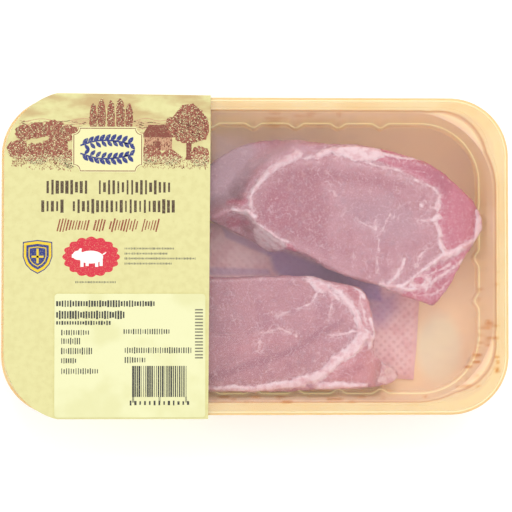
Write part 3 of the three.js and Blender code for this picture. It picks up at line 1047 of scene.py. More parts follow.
@dataclass
class LidFilm:
    """The film welded to the flange, slack by a hair between, with fine puckers along the weld."""

    levels: Levels
    length: float = 230.0
    width: float = 144.0
    inset: float = 1.7
    rim_radius: float = 26.8
    weld: float = 5.2
    weld_fade: float = 1.2
    sag: float = 0.9
    sag_reach: float = 45.0
    slack: float = 0.18
    pucker: float = 0.12
    pucker_reach: float = 22.0
    thickness: float = 0.12
    step: float = 1.1
    # Patches of thicker veil: partly moisture under the film, partly a painted reflection of soft light on
    # it.
    haze_and_reflections: tuple = (
        Region(((-22, 24), (2, 34), (30, 44), (40, 50), (20, 57), (-22, 58)), 2.4, 9.0),
        Region(((-22, 18), (-9, 20), (-3, 32), (-8, 42), (-22, 44)), 1.0, 8.0),
        Region(((82, -8), (112, -8), (112, -64), (70, -66), (66, -40)), 0.3, 9.0),
        Region(((40, 30), (78, 26), (84, 4), (60, -6), (42, 8)), 0.8, 12.0),
    )
    creases: tuple = (
        Region(((100, -6), (111, -6), (111, -58), (84, -64), (94, -50), (100, -40)), 0.9, 2.0),
        Region(((-10, 66.8), (40, 66.8), (40, 57), (-10, 57)), 0.25, 2.0),
        Region(((-20, -67), (90, -67), (90, -62.6), (-20, -62.6)), 0.6, 1.0),
    )

    def face(self) -> tuple[Array, Array]:
        """Returns a grid over the rounded outline, and how far each point lies inside the outline."""
        half = np.array([self.length, self.width]) / 2 - self.inset
        radius = self.rim_radius - self.inset
        flat = grid(half, self.step)
        over = np.maximum(0, np.abs(flat) - half + radius) / radius
        bent = over * np.sqrt(1 - over[:, :, ::-1] ** 2 / 2) * radius
        flat = np.sign(flat) * (np.minimum(np.abs(flat), half - radius) + bent)
        corner = np.maximum(0, np.abs(flat) - half + radius)
        in_corner = np.all(corner > 0, axis=2)
        straight = np.min(half - np.abs(flat), axis=2)
        return flat, np.where(in_corner, radius - np.linalg.norm(corner, axis=2), straight)

    def build(self) -> Object:
        """Builds the film as a thin closed sheet."""
        places, inside = self.face()
        flat = places.reshape(-1, 2)
        inside = inside.ravel()
        over_air = smoothstep(self.weld - self.weld_fade, self.weld, inside)
        middle = smoothstep(self.weld, self.weld + self.sag_reach, inside)
        folds = Unevenness(11).at(flat, 2.4) * Unevenness(12).at(flat, 17)
        near_weld = over_air * (1 - smoothstep(self.weld, self.weld + self.pucker_reach, inside))
        slack = over_air * self.slack * (Unevenness(13).at(flat, 34) + 1)
        drop = self.sag * middle + slack + self.pucker * near_weld * (folds + 1)
        high = np.column_stack([flat, self.levels.film_high - CLEARANCE - drop])
        low = high - [0, 0, self.thickness]
        shape = (*places.shape[:2], 3)
        points, faces = slab(low.reshape(shape), high.reshape(shape))
        obj = new_object("lid_film_clear", points, faces, 60, LiddingFilm().material())
        streaks = Unevenness(14).at(flat * (0.35, 1.0), 3.0) * Unevenness(15).at(flat, 20)
        # The thicker veil in these patches is partly moisture and partly painted reflection.
        haze_and_reflection = total(self.haze_and_reflections, flat + 3 * Unevenness(16).at(flat, 9)[:, None])
        veil = over_air * (1 + haze_and_reflection * (1 + 0.6 * streaks) + 0.8 * np.clip(streaks, 0, 1))
        dashes = Unevenness(17).at(flat * (0.25, 1.0), 1.2) + 0.6 * Unevenness(18).at(flat, 7)
        crease = total(self.creases, flat) * smoothstep(0.35, 1.0, dashes)
        store(obj.data, veil=veil, crease=crease)
        return obj


@dataclass
class SoakerPad:
    """The absorbent pad under the chops, with pressed dots and crimped edges."""

    levels: Levels
    length: float = 120.0
    width: float = 67.0
    turn_degrees: float = -4.0
    centre: tuple = (18.3, -19.8)
    pitch: float = 4.1
    dot_depth: float = 0.25
    dot_radius: float = 0.9
    crimp: float = 2.6
    thickness_shares: tuple = (0.3, 0.88)
    swell: float = 0.1
    ragged: float = 0.004
    step: float = 0.5
    # Painted shadow of the chops on the pad: in the gap between them and along their edges.
    painted_shadows: tuple = (
        Region(((5, 4), (14, 6), (30, 0), (62, -10), (62, -22), (40, -18), (14, -12), (8, -7)), 0.85, 4.0),
        Region(((-24, -3.2), (8, -4.2), (10, -9), (-24, -9)), 0.45, 2.0),
        Region(((46, -12), (72, -12), (72, -26), (64, -36), (52, -36)), 0.6, 9.0),
        Region(((-16, 16), (8, 5.5), (12, 3), (7, 0), (-14, 9)), 0.5, 2.0),
    )

    def build(self) -> Object:
        """Builds the pad as a closed sheet with its dots sunk in the top."""
        half = np.array([self.length, self.width]) / 2
        places = grid(half, self.step)
        shape, flat = (*places.shape[:2], 3), places.reshape(-1, 2)
        row = np.round(flat[:, 1] / (self.pitch / 2))
        offset = np.where(row % 2 == 0, 0, self.pitch / 2)
        nearest_x = np.round((flat[:, 0] - offset) / self.pitch) * self.pitch + offset
        away = np.hypot(flat[:, 0] - nearest_x, flat[:, 1] - row * self.pitch / 2)
        dots = 1 - smoothstep(self.dot_radius * 0.3, self.dot_radius * 1.3, away)
        edge = np.min(half - np.abs(flat), axis=1)
        body = smoothstep(0, self.crimp, edge)
        swell = Unevenness(21).at(flat, 14)
        thickness = self.levels.pad_high - self.levels.pad_low
        low_share, high_share = self.thickness_shares
        height = thickness * (low_share + (high_share - low_share) * body)
        height += body * (self.swell * swell - self.dot_depth * dots)
        ragged = flat * (1 + self.ragged * Unevenness(22).at(flat, 9)[:, None] * (edge < 3)[:, None])
        placed = ragged @ turned(self.turn_degrees) + self.centre
        low = np.column_stack([placed, np.full(len(placed), self.levels.pad_low)])
        high = np.column_stack([placed, self.levels.pad_low + height])
        points, faces = slab(low.reshape(shape), high.reshape(shape))
        obj = new_object("soaker_pad_quilted", points, faces, 60, SoakedPad().material())
        pressed = dots * body * (0.3 + 0.7 * smoothstep(2, 16, placed[:, 0]))
        store(obj.data, pressed=pressed, drained=np.clip(total(self.painted_shadows, placed), 0, 1))
        return obj


@dataclass
class PorkChop:
    """One boneless loin chop: a barrelled slab, its cut face swelling between seams of fat.

    Attributes:
        base: the height of its underside.
        outline: x and y round it, clockwise from the left.
        spine: the two ends of the line that the face's rings close in on.
        swells: x, y, reach and height of each swell or hollow of the cut face.
        falls: areas where the face drops away.
        red, dusky, cool: areas of redder muscle, of duller colour and of bluish colour; one red area and some
        duller ones are painted shade, and the upper chop's bluish ones are painted shade and painted sheen.
        pale, islands: areas that are all fat, and areas inside the fat that are all muscle.
        seed: picks its unevenness.
        side: the inset and the share of the height of each ring of the side.
        sway: how the edges of fat and muscle stray, as heights and sizes of noise.
        bumps: the relief of the cut face, in the same way.
        ragged: the relief of the side, beyond an even trim.
        groove: how deep the face dips beside a seam of fat.
        fat_rise: how far fat stands above muscle.
    """

    name: str
    finish: RawPork
    base: float
    thickness: float
    outline: tuple
    spine: tuple
    swells: tuple
    falls: tuple
    seams: tuple
    red: tuple
    dull_tone_and_shade: tuple
    cool_shade_and_sheen: tuple
    pale: tuple
    islands: tuple
    seed: int
    step: float = 0.9
    face_rings: int = 38
    voxel: float = 0.55
    rounded_edge: float = 4.5
    deepest: float = 4.0
    side: tuple = (
        (4.0, 0.0), (3.0, 0.02), (2.2, 0.07), (1.6, 0.16), (1.2, 0.27), (0.7, 0.42), (0.4, 0.58), (0.1, 0.72),
        (0.0, 0.84), (0.2, 0.9), (0.5, 0.94), (1.1, 0.975), (1.8, 0.99), (2.7, 0.998), (3.6, 1.0),
    )
    sway: tuple = ((0.55, 5.0), (0.35, 1.6))
    bumps: tuple = ((0.35, 13.0), (0.14, 4.0), (0.05, 1.5))
    ragged: tuple = ((0.55, 2.6), (0.3, 1.3))
    trim: float = 0.6
    groove: float = 0.5
    fat_rise: float = 0.25

    def face_height(self, places: Array) -> Array:
        """Returns the cut face's height above the underside at each place."""
        height = np.full(len(places), self.thickness)
        for x, y, reach, rise in self.swells:
            away = np.hypot(places[:, 0] - x, places[:, 1] - y) / reach
            height += rise * np.exp(-(away**2))
        for fall in self.falls:
            height -= fall.at(places)
        return height

    def solid(self) -> Object:
        """Builds the smooth body from its rings."""
        outline = smooth_curve(self.outline, self.step, closed=True)[::-1]
        start, end = np.array(self.spine, float)
        run = end - start
        share = np.clip((outline - start) @ run / (run @ run), 0, 1)
        inner = start + share[:, None] * run
        rings = []
        for inset, height in self.side:
            pull = inset / np.linalg.norm(inner - outline, axis=1)
            flat = outline + (inner - outline) * pull[:, None]
            rings.append(np.column_stack([flat, self.base + height * self.face_height(flat)]))
        edge = rings[-1][:, :2]
        for pull in np.linspace(0.97, 0.03, self.face_rings):
            flat = inner + (edge - inner) * pull
            rings.append(np.column_stack([flat, self.base + self.face_height(flat)]))
        return placed_object(new_mesh("rough", *loft(rings)))

    def tones(self, points: Array) -> dict[str, Array]:
        """Works out what the material reads at each point.

        Returns:
            How deep each point lies in fat, and how red, how dull and how bluish its muscle is, partly
            painted shade and painted sheen.
        """
        noise = Unevenness(self.seed)
        pair = (noise, Unevenness(self.seed + 1))
        swayed = points[:, :2] + np.stack([one.layered(points, self.sway) for one in pair], axis=1)
        fat = np.max([seam.depth(swayed) for seam in self.seams], axis=0)
        for area in self.pale:
            depth = inside_depth(swayed, area.corners)
            fat = np.maximum(fat, np.where(depth > 0, area.value, 2.0) * depth)
        for area in self.islands:
            fat = np.minimum(fat, -2 * area.value * inside_depth(swayed, area.corners))
        fat = np.clip(fat * (1 + 0.35 * noise.at(points, 7.0)), -self.deepest, self.deepest)
        red, dullness_and_shade, cool_shade_and_sheen = (np.clip(total(areas, swayed), 0, 1) for areas in (self.red, self.dull_tone_and_shade, self.cool_shade_and_sheen))
        return {"fat_depth": fat, "redness": red, "dullness_and_shade": dullness_and_shade, "cool_shade_and_sheen": cool_shade_and_sheen}

    def relief(self, points: Array, normals: Array, fat: Array) -> Array:
        """Returns how far each point moves out along its normal, by how deep it lies in fat."""
        noise = Unevenness(self.seed)
        top = smoothstep(0.3, 0.9, normals[:, 2])
        side = 1 - np.abs(normals[:, 2])
        pillow = smoothstep(-self.deepest, -0.3, fat) * (1 - smoothstep(0, 0.8, fat))
        bumps = noise.layered(points, self.bumps)
        lift = top * (bumps - self.groove * pillow + self.fat_rise * smoothstep(0, 1, fat))
        return lift - side * (self.trim + noise.layered(points, self.ragged))

    def build(self) -> Object:
        """Builds the chop with even faces, its relief and the values that its material reads."""
        rough = self.solid()
        remesh = rough.modifiers.new("even_faces", "REMESH")
        remesh.mode = "VOXEL"
        remesh.voxel_size = self.voxel * MM
        mesh = evaluated_mesh(rough)
        bpy.data.objects.remove(rough)
        count = len(mesh.vertices)
        points, normals = np.zeros(count * 3), np.zeros(count * 3)
        mesh.vertices.foreach_get("co", points)
        mesh.vertex_normals.foreach_get("vector", normals)
        points, normals = points.reshape(-1, 3) / MM, normals.reshape(-1, 3)

        flat = points[:, :2]
        on_face = (normals[:, 2] > 0.8) & (inside_depth(flat, self.outline) > self.rounded_edge)
        points[on_face, 2] = self.base + self.face_height(flat[on_face])
        tones = self.tones(points)
        points += normals * self.relief(points, normals, tones["fat_depth"])[:, None]
        points[:, 2] = np.maximum(points[:, 2], self.base)

        mesh.vertices.foreach_set("co", (points * MM).ravel())
        mesh.shade_smooth()
        mesh.update()
        store(mesh, **tones)
        mesh.materials.clear()
        mesh.materials.append(self.finish.material())
        mesh.name = self.name
        return placed_object(mesh)


def upper_chop(levels: Levels) -> PorkChop:
    """Sets out the chop at the back, with its large pale eye and the red muscle round its right end."""
    arc = (
        (20, 46.9), (15.8, 45.1), (9, 41.4), (4.4, 36.9), (0.8, 32.8), (-1.9, 28.1), (-1, 20.4), (-0.1, 15.9),
    )
    top_line = ((28.8, 46.7), (33.4, 49.2), (38.9, 50.2), (52.6, 49.9), (64.9, 46.7), (76.4, 45.3))
    long_seam = (
        (40.7, 47.1), (49.8, 43.9), (61.7, 41.2), (68.1, 38.9), (75.4, 35.3), (81.9, 32.1), (85.5, 28.4),
    )
    down_seam = ((85.5, 28.4), (83.9, 23.5), (82.8, 17.4), (84.6, 11.9), (86, 7.4), (87.3, 1.4))
    right_seam = ((87.3, 0.6), (92.8, 2.4), (97.4, 5.2), (100.6, 7.4))
    left_seam = (
        (87.3, 1), (83.7, -2.2), (78.2, -5.8), (73.6, -9.5), (68.1, -13.1), (61.7, -13.6), (58.1, -13.2),
    )
    lip = (
        (-10.6, 21.8), (-6.5, 21.8), (-3.3, 21.8), (-1, 18.6), (1.7, 15), (5.3, 12.7), (9.9, 9.5),
        (14.5, 6.2),
    )
    return PorkChop(
        name="chop_upper_cut",
        finish=RawPork("raw_pork_upper"),
        base=levels.chop_base,
        thickness=22.3,
        outline=(
            (-27, 28), (-24, 40), (-15, 48), (-1, 54), (16, 55), (36, 52.8), (51, 52), (63, 49.4),
            (76.5, 45.5), (85, 41.3), (94, 34), (101.6, 26), (104.8, 20.6), (106.2, 16.5), (105.4, 11.4),
            (102, 6.6), (99, 2), (95.5, -4), (91.8, -11.4), (87, -18.6), (82.6, -22.7), (78, -21.3),
            (66.5, -17.6), (57.3, -13.8), (46.2, -10.6), (33.3, -5.6), (26, -1.2), (16.3, 2.6), (7, 2.4),
            (-1.2, 7.5), (-13.6, 13.5), (-23, 18.5),
        ),
        spine=((4, 29), (84, 9)),
        swells=((42, 18, 34, 1.8), (82, -22, 12, -4), (104, 14, 8, -2.5)),
        falls=(
            Region(((-40, 10), (-10.6, 21.8), (-3, 24), (-4.4, 28.4), (-1.5, 34), (2.4, 39), (8, 43.6),
                    (20, 50), (40, 54), (40, 70), (-40, 70)), 7.5, 9),
            Region(((-40, 10), *lip, (24, 0), (10, -20), (-40, -20)), 13, 8),
        ),
        seams=(
            Seam(arc, 3.8, 0.8),
            Seam(((20, 46.4), (22.6, 45.1), (25.3, 46.2), (28.8, 46.7)), 0.5, 1),
            Seam(top_line, 2.8, 0.8),
            Seam(((37, 48.8), (44, 47.8), (52, 47.6), (58, 47.4)), 2.4, 1.6),
            Seam(long_seam, 0.5, 0.2),
            Seam(down_seam[:2], 0.6, 1),
            Seam(((84.6, 24), (84, 20.5)), 1.6, 0.8),
            Seam(((84.4, 18.6), (82.4, 17.2), (80.6, 17.6)), 2.6, 1.2),
            Seam(((82.6, 16), (84.8, 13.4), (85.6, 10.2)), 1, 2),
            Seam(((85.2, 9), (86, 6), (87.9, 2.6)), 1.2, 2.8),
            Seam(((80, 17), (77, 16.6), (74.6, 18)), 0.5, 0.1),
            Seam(((76.6, 23.9), (77, 23.1)), 0.9, 0.9),
            Seam(((84.6, 22), (80.2, 23.6), (77.6, 26.4)), 0.4, 0.1),
            Seam(right_seam, 3.4, 2.2),
            Seam(left_seam, 1.5, 1.8),
            Seam(((69, -0.3), (67.7, -4.9), (64.9, -8.6), (61.7, -12.2)), 0.7, 1.6),
            Seam(((78.2, 2.4), (75, -0.3), (74.5, -4)), 0.4, 1),
            Seam(((96.5, -2.2), (90.1, -5.8), (82.8, -11.3), (79.1, -15)), 0.8, 1.2),
            Seam(((89.6, -10.8), (85.9, -15.2), (81.4, -17.4), (74.2, -17.5)), 0, 0.4),
            Seam(((80, -8.2), (86, -5.4), (90.6, -2.6)), 1, 0.3),
            Seam(((66, -13.9), (71, -14.8), (76, -14.9)), 2, 0.8),
            Seam(((34.3, 40.3), (33.8, 35.7), (35.2, 31.1), (37.5, 27.9)), -0.1, 0.1),
            Seam(((48.9, 16.5), (55.3, 12.8), (56.7, 8.3), (57.2, 2.8)), -0.1, 0.25),
            Seam(((55.3, 18.3), (55.8, 12.8)), 0, 0.3),
            Seam(((62.2, 19.2), (59.9, 14.7), (57.6, 10.1)), 0, 0.3),
            Seam(((56, -1), (57, -6)), 0.2, 0.1),
            Seam(((-10.6, 21.4), (-6.5, 21), (-3.3, 20.6), (-0.6, 18)), 1.6, 3.2),
            Seam(((-0.6, 16), (3.4, 13.4), (8, 10.2), (14.5, 6.2)), 1, 1.2),
        ),
        red=(
            Region(((50, 47), *long_seam[2:], *down_seam[1:], *right_seam[1:], (112, 10), (112, 60),
                    (60, 60)), 0.95, 2),
            Region(((87, -2), *left_seam[1:5], (66, -22), (90, -30), (112, 8), (100, 5)), 0.9, 2),
            Region(((-14, 23), (-5, 23), (-2, 25), (-2, 28), (-14, 27)), 0.9, 2),
            Region(((-14, 12), (-4, 13), (1, 15), (-3, 19), (-14, 19)), 0.8, 3),
            # Painted shade: the top left of the face is dimmed to a red-brown.
            Region(((0, 43), (14, 48), (30, 50.5), (30, 58), (-6, 58)), 0.6, 5),
            Region(ellipse(75.6, -11.2, 3, 2, 20), 1, 0.6),
            Region(((-1, 17), (6, 8), (20, 12), (18, 34), (4, 34)), 0.22, 6),
            Region(((13.6, 5.6), (17, 6), (20, 2.6), (17, 0.6), (14, 2.6)), 0.9, 1),
        ),
        dull_tone_and_shade=(
            # Painted shade: the left bulge beside the sleeve is dimmed.
            Region(((-40, 0), (-1, 16), (-2, 28), (20, 48), (20, 60), (-40, 60)), 0.4, 6),
            Region(((8, 38), (26, 44), (60, 39), (74, 33), (60, 29), (24, 33)), 0.9, 6),
            Region(((56, 49), (64, 49), (80, 45), (94, 34), (88, 27), (86, 29), (76, 37), (62, 43)),
                   0.7, 3),
            Region(((-2, 16), (12, 6), (34, 2), (36, 20), (32, 40), (14, 42), (0, 30)), 0.95, 6),
        ),
        cool_shade_and_sheen=(
            # Painted shade: the left bulge beside the sleeve is dimmed and turned bluish.
            Region(((-40, 14), (-6, 24), (-3, 30), (2, 39), (14, 47), (30, 52), (10, 60), (-40, 60)),
                   0.85, 5),
            # Painted sheen: a milky bluish sheen over the middle of the eye.
            Region(((30, 34), (60, 34), (78, 26), (80, 6), (62, 0), (36, 14)), 0.45, 12),
        ),
        pale=(
            Region(((32, 50.4), (38, 47.2), (46, 44.6), (53, 44.2), (60, 46.2), (58, 50.5), (44, 52)),
                   1.5, 1),
            Region(((102.6, 21.9), (108, 21.5), (110, 15.7), (108, 6), (101.4, 6.6), (101.8, 12),
                    (102.8, 17.6)), 2.2, 1),
            Region((*lip[4:], (14.8, 4.4), (11.5, 2.4), (6.5, 2.8), (2.5, 5.6), (-0.4, 9.4), (-0.6, 12.6)),
                   0.3, 1),
            Region(((71, -13.4), (73.6, -8.8), (78.4, -7.6), (82.2, -8.4), (81.4, -11.5), (79.8, -14.6),
                    (76.3, -14.4)), 0.3, 1),
        ),
        islands=(Region(ellipse(75.6, -11.2, 2.9, 1.8, 20), 1, 1),),
        seed=101,
    )


def lower_chop(levels: Levels) -> PorkChop:
    """Sets out the chop at the front, with a thick seam round its right end and fat along its front edge."""
    right_seam = (
        (24.3, -9), (28.9, -11.6), (33.5, -12.9), (38, -15.9), (42.6, -20.4), (46.3, -25.9), (49.9, -36),
    )
    front_seam = ((49.9, -36), (47.2, -40.6), (41.7, -45.2), (35.3, -49.7), (28.9, -55.2), (18.8, -57.4))
    oval = ((41.4, -12.6), (44.4, -12.2), (48, -15.6), (48.4, -19.4), (45.6, -19.6), (42.4, -16))
    rim_fat = ((22, -58), (8.7, -60), (-2.2, -61), (-16, -61.6), (-30, -61.2), (-48, -58), (-60, -51))
    return PorkChop(
        name="chop_lower_cut",
        finish=RawPork("raw_pork_lower", "#B98790", "#A57280", "#D0949A", "#B4707A"),
        base=levels.chop_base,
        thickness=21.8,
        outline=(
            (-69, -35.5), (-63, -20), (-48, -10.6), (-30, -8.6), (-11, -8.8), (7, -8.2), (25.6, -8.4),
            (34.6, -10.8), (44.6, -12.4), (50.6, -15.2), (53.2, -20.4), (55.4, -29), (56.2, -36), (56, -42.5),
            (60.4, -49), (66.4, -52), (67.6, -56), (64, -59), (57, -60.2), (46, -61.2), (26, -62), (7, -62.6),
            (-11, -62.6), (-30, -61.4), (-48, -58), (-62, -50),
        ),
        spine=((-44, -35), (38, -37)),
        swells=(
            (66, -56, 9.5, -13.5), (56, -46, 7, -4), (-4, -34, 32, 1.6), (-66, -36, 14, -3.5),
            (18, -62, 22, -1.5), (8, -46, 12, -1.4), (24, -30, 10, 0.9),
        ),
        falls=(),
        seams=(
            Seam(right_seam, 1.6, 3.4),
            Seam(((27, -10.4), (33, -15.5), (39, -19)), 1.4, 1.2),
            Seam(front_seam, 5.6, 3.8),
            Seam(((47, -42), (41, -46.6), (34.5, -51.8), (29, -56)), 3.4, 2.6),
            Seam(rim_fat, 4.2, 3),
            Seam(((49.9, -36), (53.6, -37.8), (54.4, -41.5)), 3, 2.6),
            Seam(((33.5, -13.1), (35.5, -19.5), (34.8, -25.9), (34.2, -29.6)), 0.9, -0.1),
            Seam(((28.9, -14), (27, -19.5), (20.6, -23.7), (15.1, -25), (10.6, -27.8)), 0.4, 0),
            Seam(((2.3, -35.1), (7.8, -34.2), (12.4, -33.3), (18.8, -36.5)), 0, 0.3),
            Seam(((34.4, -36), (41.7, -35.1), (48.1, -34.6)), 0.1, 1),
            Seam(((2, -39), (1.6, -42)), 0.8, 0.4),
            Seam(((42.6, -12.8), (48.1, -15), (50.8, -18.4)), 1.2, 0.9),
            Seam(((48, -16), (49.5, -24), (51.6, -31)), 0.9, 0.7),
            Seam(((54.2, -29), (55.6, -34), (55.2, -38)), 2.2, 1.6),
            Seam(((57, -44), (60, -50), (58, -57)), 1, 1.2),
        ),
        red=(
            Region(((30, -13), *right_seam[3:], (56, -36), (60, -20), (50, -8)), 0.75, 3),
            Region(((50, -38), *front_seam[2:5], (34, -60), (56, -60), (60, -46)), 0.85, 3),
            Region(oval, 1, 1),
            Region(((57, -48), (70, -48), (70, -62), (57, -62)), 0.4, 2),
            Region(((-26, -40), (0, -34), (24, -30), (30, -36), (0, -46), (-26, -52)), 0.3, 6),
        ),
        dull_tone_and_shade=(
            # Painted shade: a hollow across the face is darkened in colour.
            Region(((-24, -54), (2, -45), (14, -42), (26, -34), (40, -26.5), (43, -30), (30, -39), (16, -47),
                    (2, -51), (-24, -60)), 1, 2.4),
            Region(((-70, -8), (-12, -8), (-20, -60), (-70, -60)), 0.35, 14),
            Region(((37, -54), (41, -50.5), (50, -48.2), (52.6, -51.5), (46, -55.8), (39, -56)), 0.7, 2.4),
            Region(oval, 0.8, 1),
        ),
        # Bluer towards the left end, by the sleeve.
        cool_shade_and_sheen=(Region(((-70, -14), (-20, -12), (-14, -30), (-24, -60), (-70, -60)), 0.5, 12),),
        pale=(
            Region(((60, -49), (66, -51.5), (68, -56), (64, -60), (58, -57)), 0.4, 1),
            Region(((22.6, -10), (30, -9.4), (35, -13), (33, -17.4), (27.6, -15.6)), 0.5, 1),
            Region(((28, -58), (40, -57.4), (52, -58.6), (52, -62), (28, -63)), 0.5, 1),
        ),
        islands=(Region(oval, 1, 1),),
        seed=201,
    )


@dataclass
class CardSleeve:
    """The printed card sleeve: one band of card round the tray, its left edge cut to the tray's corners."""

    levels: Levels
    card: float = 0.45
    left: float = -113.6
    right: float = -21.05
    skew: float = 0.0075
    cut_radius: float = 32.0
    cut_y: float = 42.6
    fold_back_left: float = 73.6
    fold_back_right: float = 72.8
    fold_front: float = 73.6
    bend_height: float = 34.5
    base_half: float = 66.5
    fold_radius: float = 0.9

    def left_edge(self, y: Array, on_top: Array) -> Array:
        """Returns the x of the left edge, an arc near the corners of the top panel and straight below it."""
        centre = self.left + self.cut_radius

        def arc(distance: Array) -> Array:
            """Returns the arc's x at a distance past the straight stretch."""
            return centre - np.sqrt(self.cut_radius**2 - distance**2)

        over = arc(np.maximum(0, np.abs(y) - self.cut_y))
        back, front = arc(self.fold_back_left - self.cut_y), arc(self.fold_front - self.cut_y)
        share = np.clip((y + self.fold_front) / (self.fold_back_left + self.fold_front), 0, 1)
        return np.where(on_top, over, front + (back - front) * share)

    def section(self, fold_back: float, depth: float) -> tuple[Array, Array]:
        """Works out the band's section across the tray.

        Args:
            fold_back: the y of the back fold.
            depth: how deep in the card the section runs.

        Returns:
            Rows of y and z from the back fold over the top, and which of them are on the top panel.
        """
        top = self.levels.sleeve_top
        front, bend, half = -self.fold_front, self.bend_height, self.base_half
        outline = ((fold_back, top), (front, top), (front, bend), (-half, 0), (half, 0), (fold_back, bend))
        corners = np.array(outline)
        radius = np.array([1.0, 1.0, 1.6, 1.0, 1.0, 1.6]) * self.fold_radius
        samples = (150, 10, 34, 120, 34, 10)
        rows, on_top = [], []
        for i, corner in enumerate(corners):
            following, following_radius = corners[(i + 1) % 6], radius[(i + 1) % 6]
            before, after = corners[i - 1] - corner, following - corner
            start = corner + before / np.linalg.norm(before) * radius[i]
            end = corner + after / np.linalg.norm(after) * radius[i]
            share = np.linspace(0, 1, 7)[:, None]
            fold = (1 - share) ** 2 * start + 2 * share * (1 - share) * corner + share**2 * end
            stop = following - after / np.linalg.norm(after) * following_radius
            run = end + (stop - end) * np.linspace(0, 1, samples[i])[1:-1, None]
            rows.append(np.vstack([fold, run]))
            on_top += [i == 0 or (i == 1 and s <= 0.5) for s in share[:, 0]] + [i == 0] * len(run)
        outer = np.vstack(rows)
        along = np.roll(outer, -1, axis=0) - np.roll(outer, 1, axis=0)
        inward = np.stack([-along[:, 1], along[:, 0]], axis=1)
        inward /= np.linalg.norm(inward, axis=1)[:, None]
        return outer + inward * depth, np.array(on_top)

    def ring(self, share: float, depth: float) -> Array:
        """Returns one closed ring of the band, a share of the way from its left edge to its right edge."""
        fold_back = self.fold_back_left + (self.fold_back_right - self.fold_back_left) * share
        section, on_top = self.section(fold_back, depth)
        flush, _ = self.section(self.fold_back_left, 0)
        left = self.left_edge(flush[:, 0], on_top)
        right = self.right + self.skew * flush[:, 0]
        return np.column_stack([left + (right - left) * share, section])

    def build(self) -> Object:
        """Builds the band."""
        shares = np.linspace(0, 1, 60)
        outer = [self.ring(share, 0.0) for share in shares]
        inner = [self.ring(share, self.card) for share in shares[::-1]]
        points, faces = loft([*outer, *inner], joins_up=True)
        return new_object("card_sleeve_folded", points, faces, 50, TintedCard().material())


@dataclass
class PriceLabel:
    """The self-adhesive price label on the sleeve."""

    levels: Levels
    left: float = -90.8
    right: float = -22.9
    back: float = -17.1
    front: float = -72.8
    radius: float = 1.6

    def outline(self) -> Array:
        """Returns the label's outline with its round corners."""
        quarter = np.linspace(0, math.pi / 2, 9)
        bend = on_circle(quarter) * self.radius
        inner = box(self.left, self.right, self.front, self.back)
        inner -= np.sign(inner - inner.mean(0)) * self.radius
        return np.vstack([bend @ turned(turn * 90) + inner[turn - 2] for turn in range(4)])

    def build(self) -> Object:
        """Builds the label."""
        levels = self.levels
        points, faces = prisms([self.outline()], levels.sleeve_top + CLEARANCE, levels.paper_top)
        return new_object("price_label_paper", points, faces, 30, ThermalPaper().material())


class NodeForm:
    """A Geometry Nodes tree that lays inked strokes on points, evaluated for each set of values."""

    common = {"Smallest": "Vector", "Largest": "Vector", "Seed": "Int", "Ink": "Material"}

    def __init__(self, name: str, inputs: dict[str, str]) -> None:
        """Makes the empty tree with its named inputs and a geometry output.

        Args:
            name: the tree's name.
            inputs: the socket type of each input beside the common ones.
        """
        self.tree = bpy.data.node_groups.new(name, "GeometryNodeTree")
        self.keys = {}
        for label, kind in {**inputs, **self.common}.items():
            socket = self.tree.interface.new_socket(label, in_out="INPUT", socket_type="NodeSocket" + kind)
            self.keys[label] = socket.identifier
        self.tree.interface.new_socket("Geometry", in_out="OUTPUT", socket_type="NodeSocketGeometry")
        self.values = add_node(self.tree, "NodeGroupInput").outputs

    def random(self, low: str, high: str) -> NodeSocket:
        """Adds a seeded random vector between two of the inputs."""
        inputs = {0: self.values[low], 1: self.values[high], "Seed": self.values["Seed"]}
        return add_node(self.tree, "FunctionNodeRandomValue", inputs, data_type="FLOAT_VECTOR").outputs[0]

    def lay(self, points: NodeSocket, turn: NodeSocket) -> None:
        """Lays a stroke of random size on each point, turns them all, makes them real and inks them."""
        stroke = add_node(self.tree, "GeometryNodeMeshCube", {"Size": (1, 1, 1)})
        size = self.random("Smallest", "Largest")
        inputs = {"Points": points, "Instance": stroke, "Rotation": turn, "Scale": size}
        laid = add_node(self.tree, "GeometryNodeInstanceOnPoints", inputs)
        real = add_node(self.tree, "GeometryNodeRealizeInstances", {0: laid})
        inputs = {"Geometry": real, "Material": self.values["Ink"]}
        inked = add_node(self.tree, "GeometryNodeSetMaterial", inputs)
        add_node(self.tree, "NodeGroupOutput", {0: inked})

    def evaluate(self, values: dict, base: Mesh | None = None) -> Mesh:
        """Runs the tree on a mesh with the values given and returns what it makes."""
        obj = placed_object(base or bpy.data.meshes.new("form"))
        modifier = obj.modifiers.new("form", "NODES")
        modifier.node_group = self.tree
        for name, value in values.items():
            modifier[self.keys[name]] = value
        made = evaluated_mesh(obj)
        bpy.data.objects.remove(obj)
        return made


def printed_row_form() -> NodeForm:
    """Builds the tree for a row of upright strokes with seeded widths, heights and lean."""
    form = NodeForm("PrintedRow", {"Count": "Int", "Start": "Vector", "Pitch": "Vector", "Turn": "Vector"})
    values = form.values
    inputs = {"Count": values["Count"], "Start Location": values["Start"], "Offset": values["Pitch"]}
    line = add_node(form.tree, "GeometryNodeMeshLine", inputs)
    form.lay(line.outputs[0], values["Turn"])
    return form


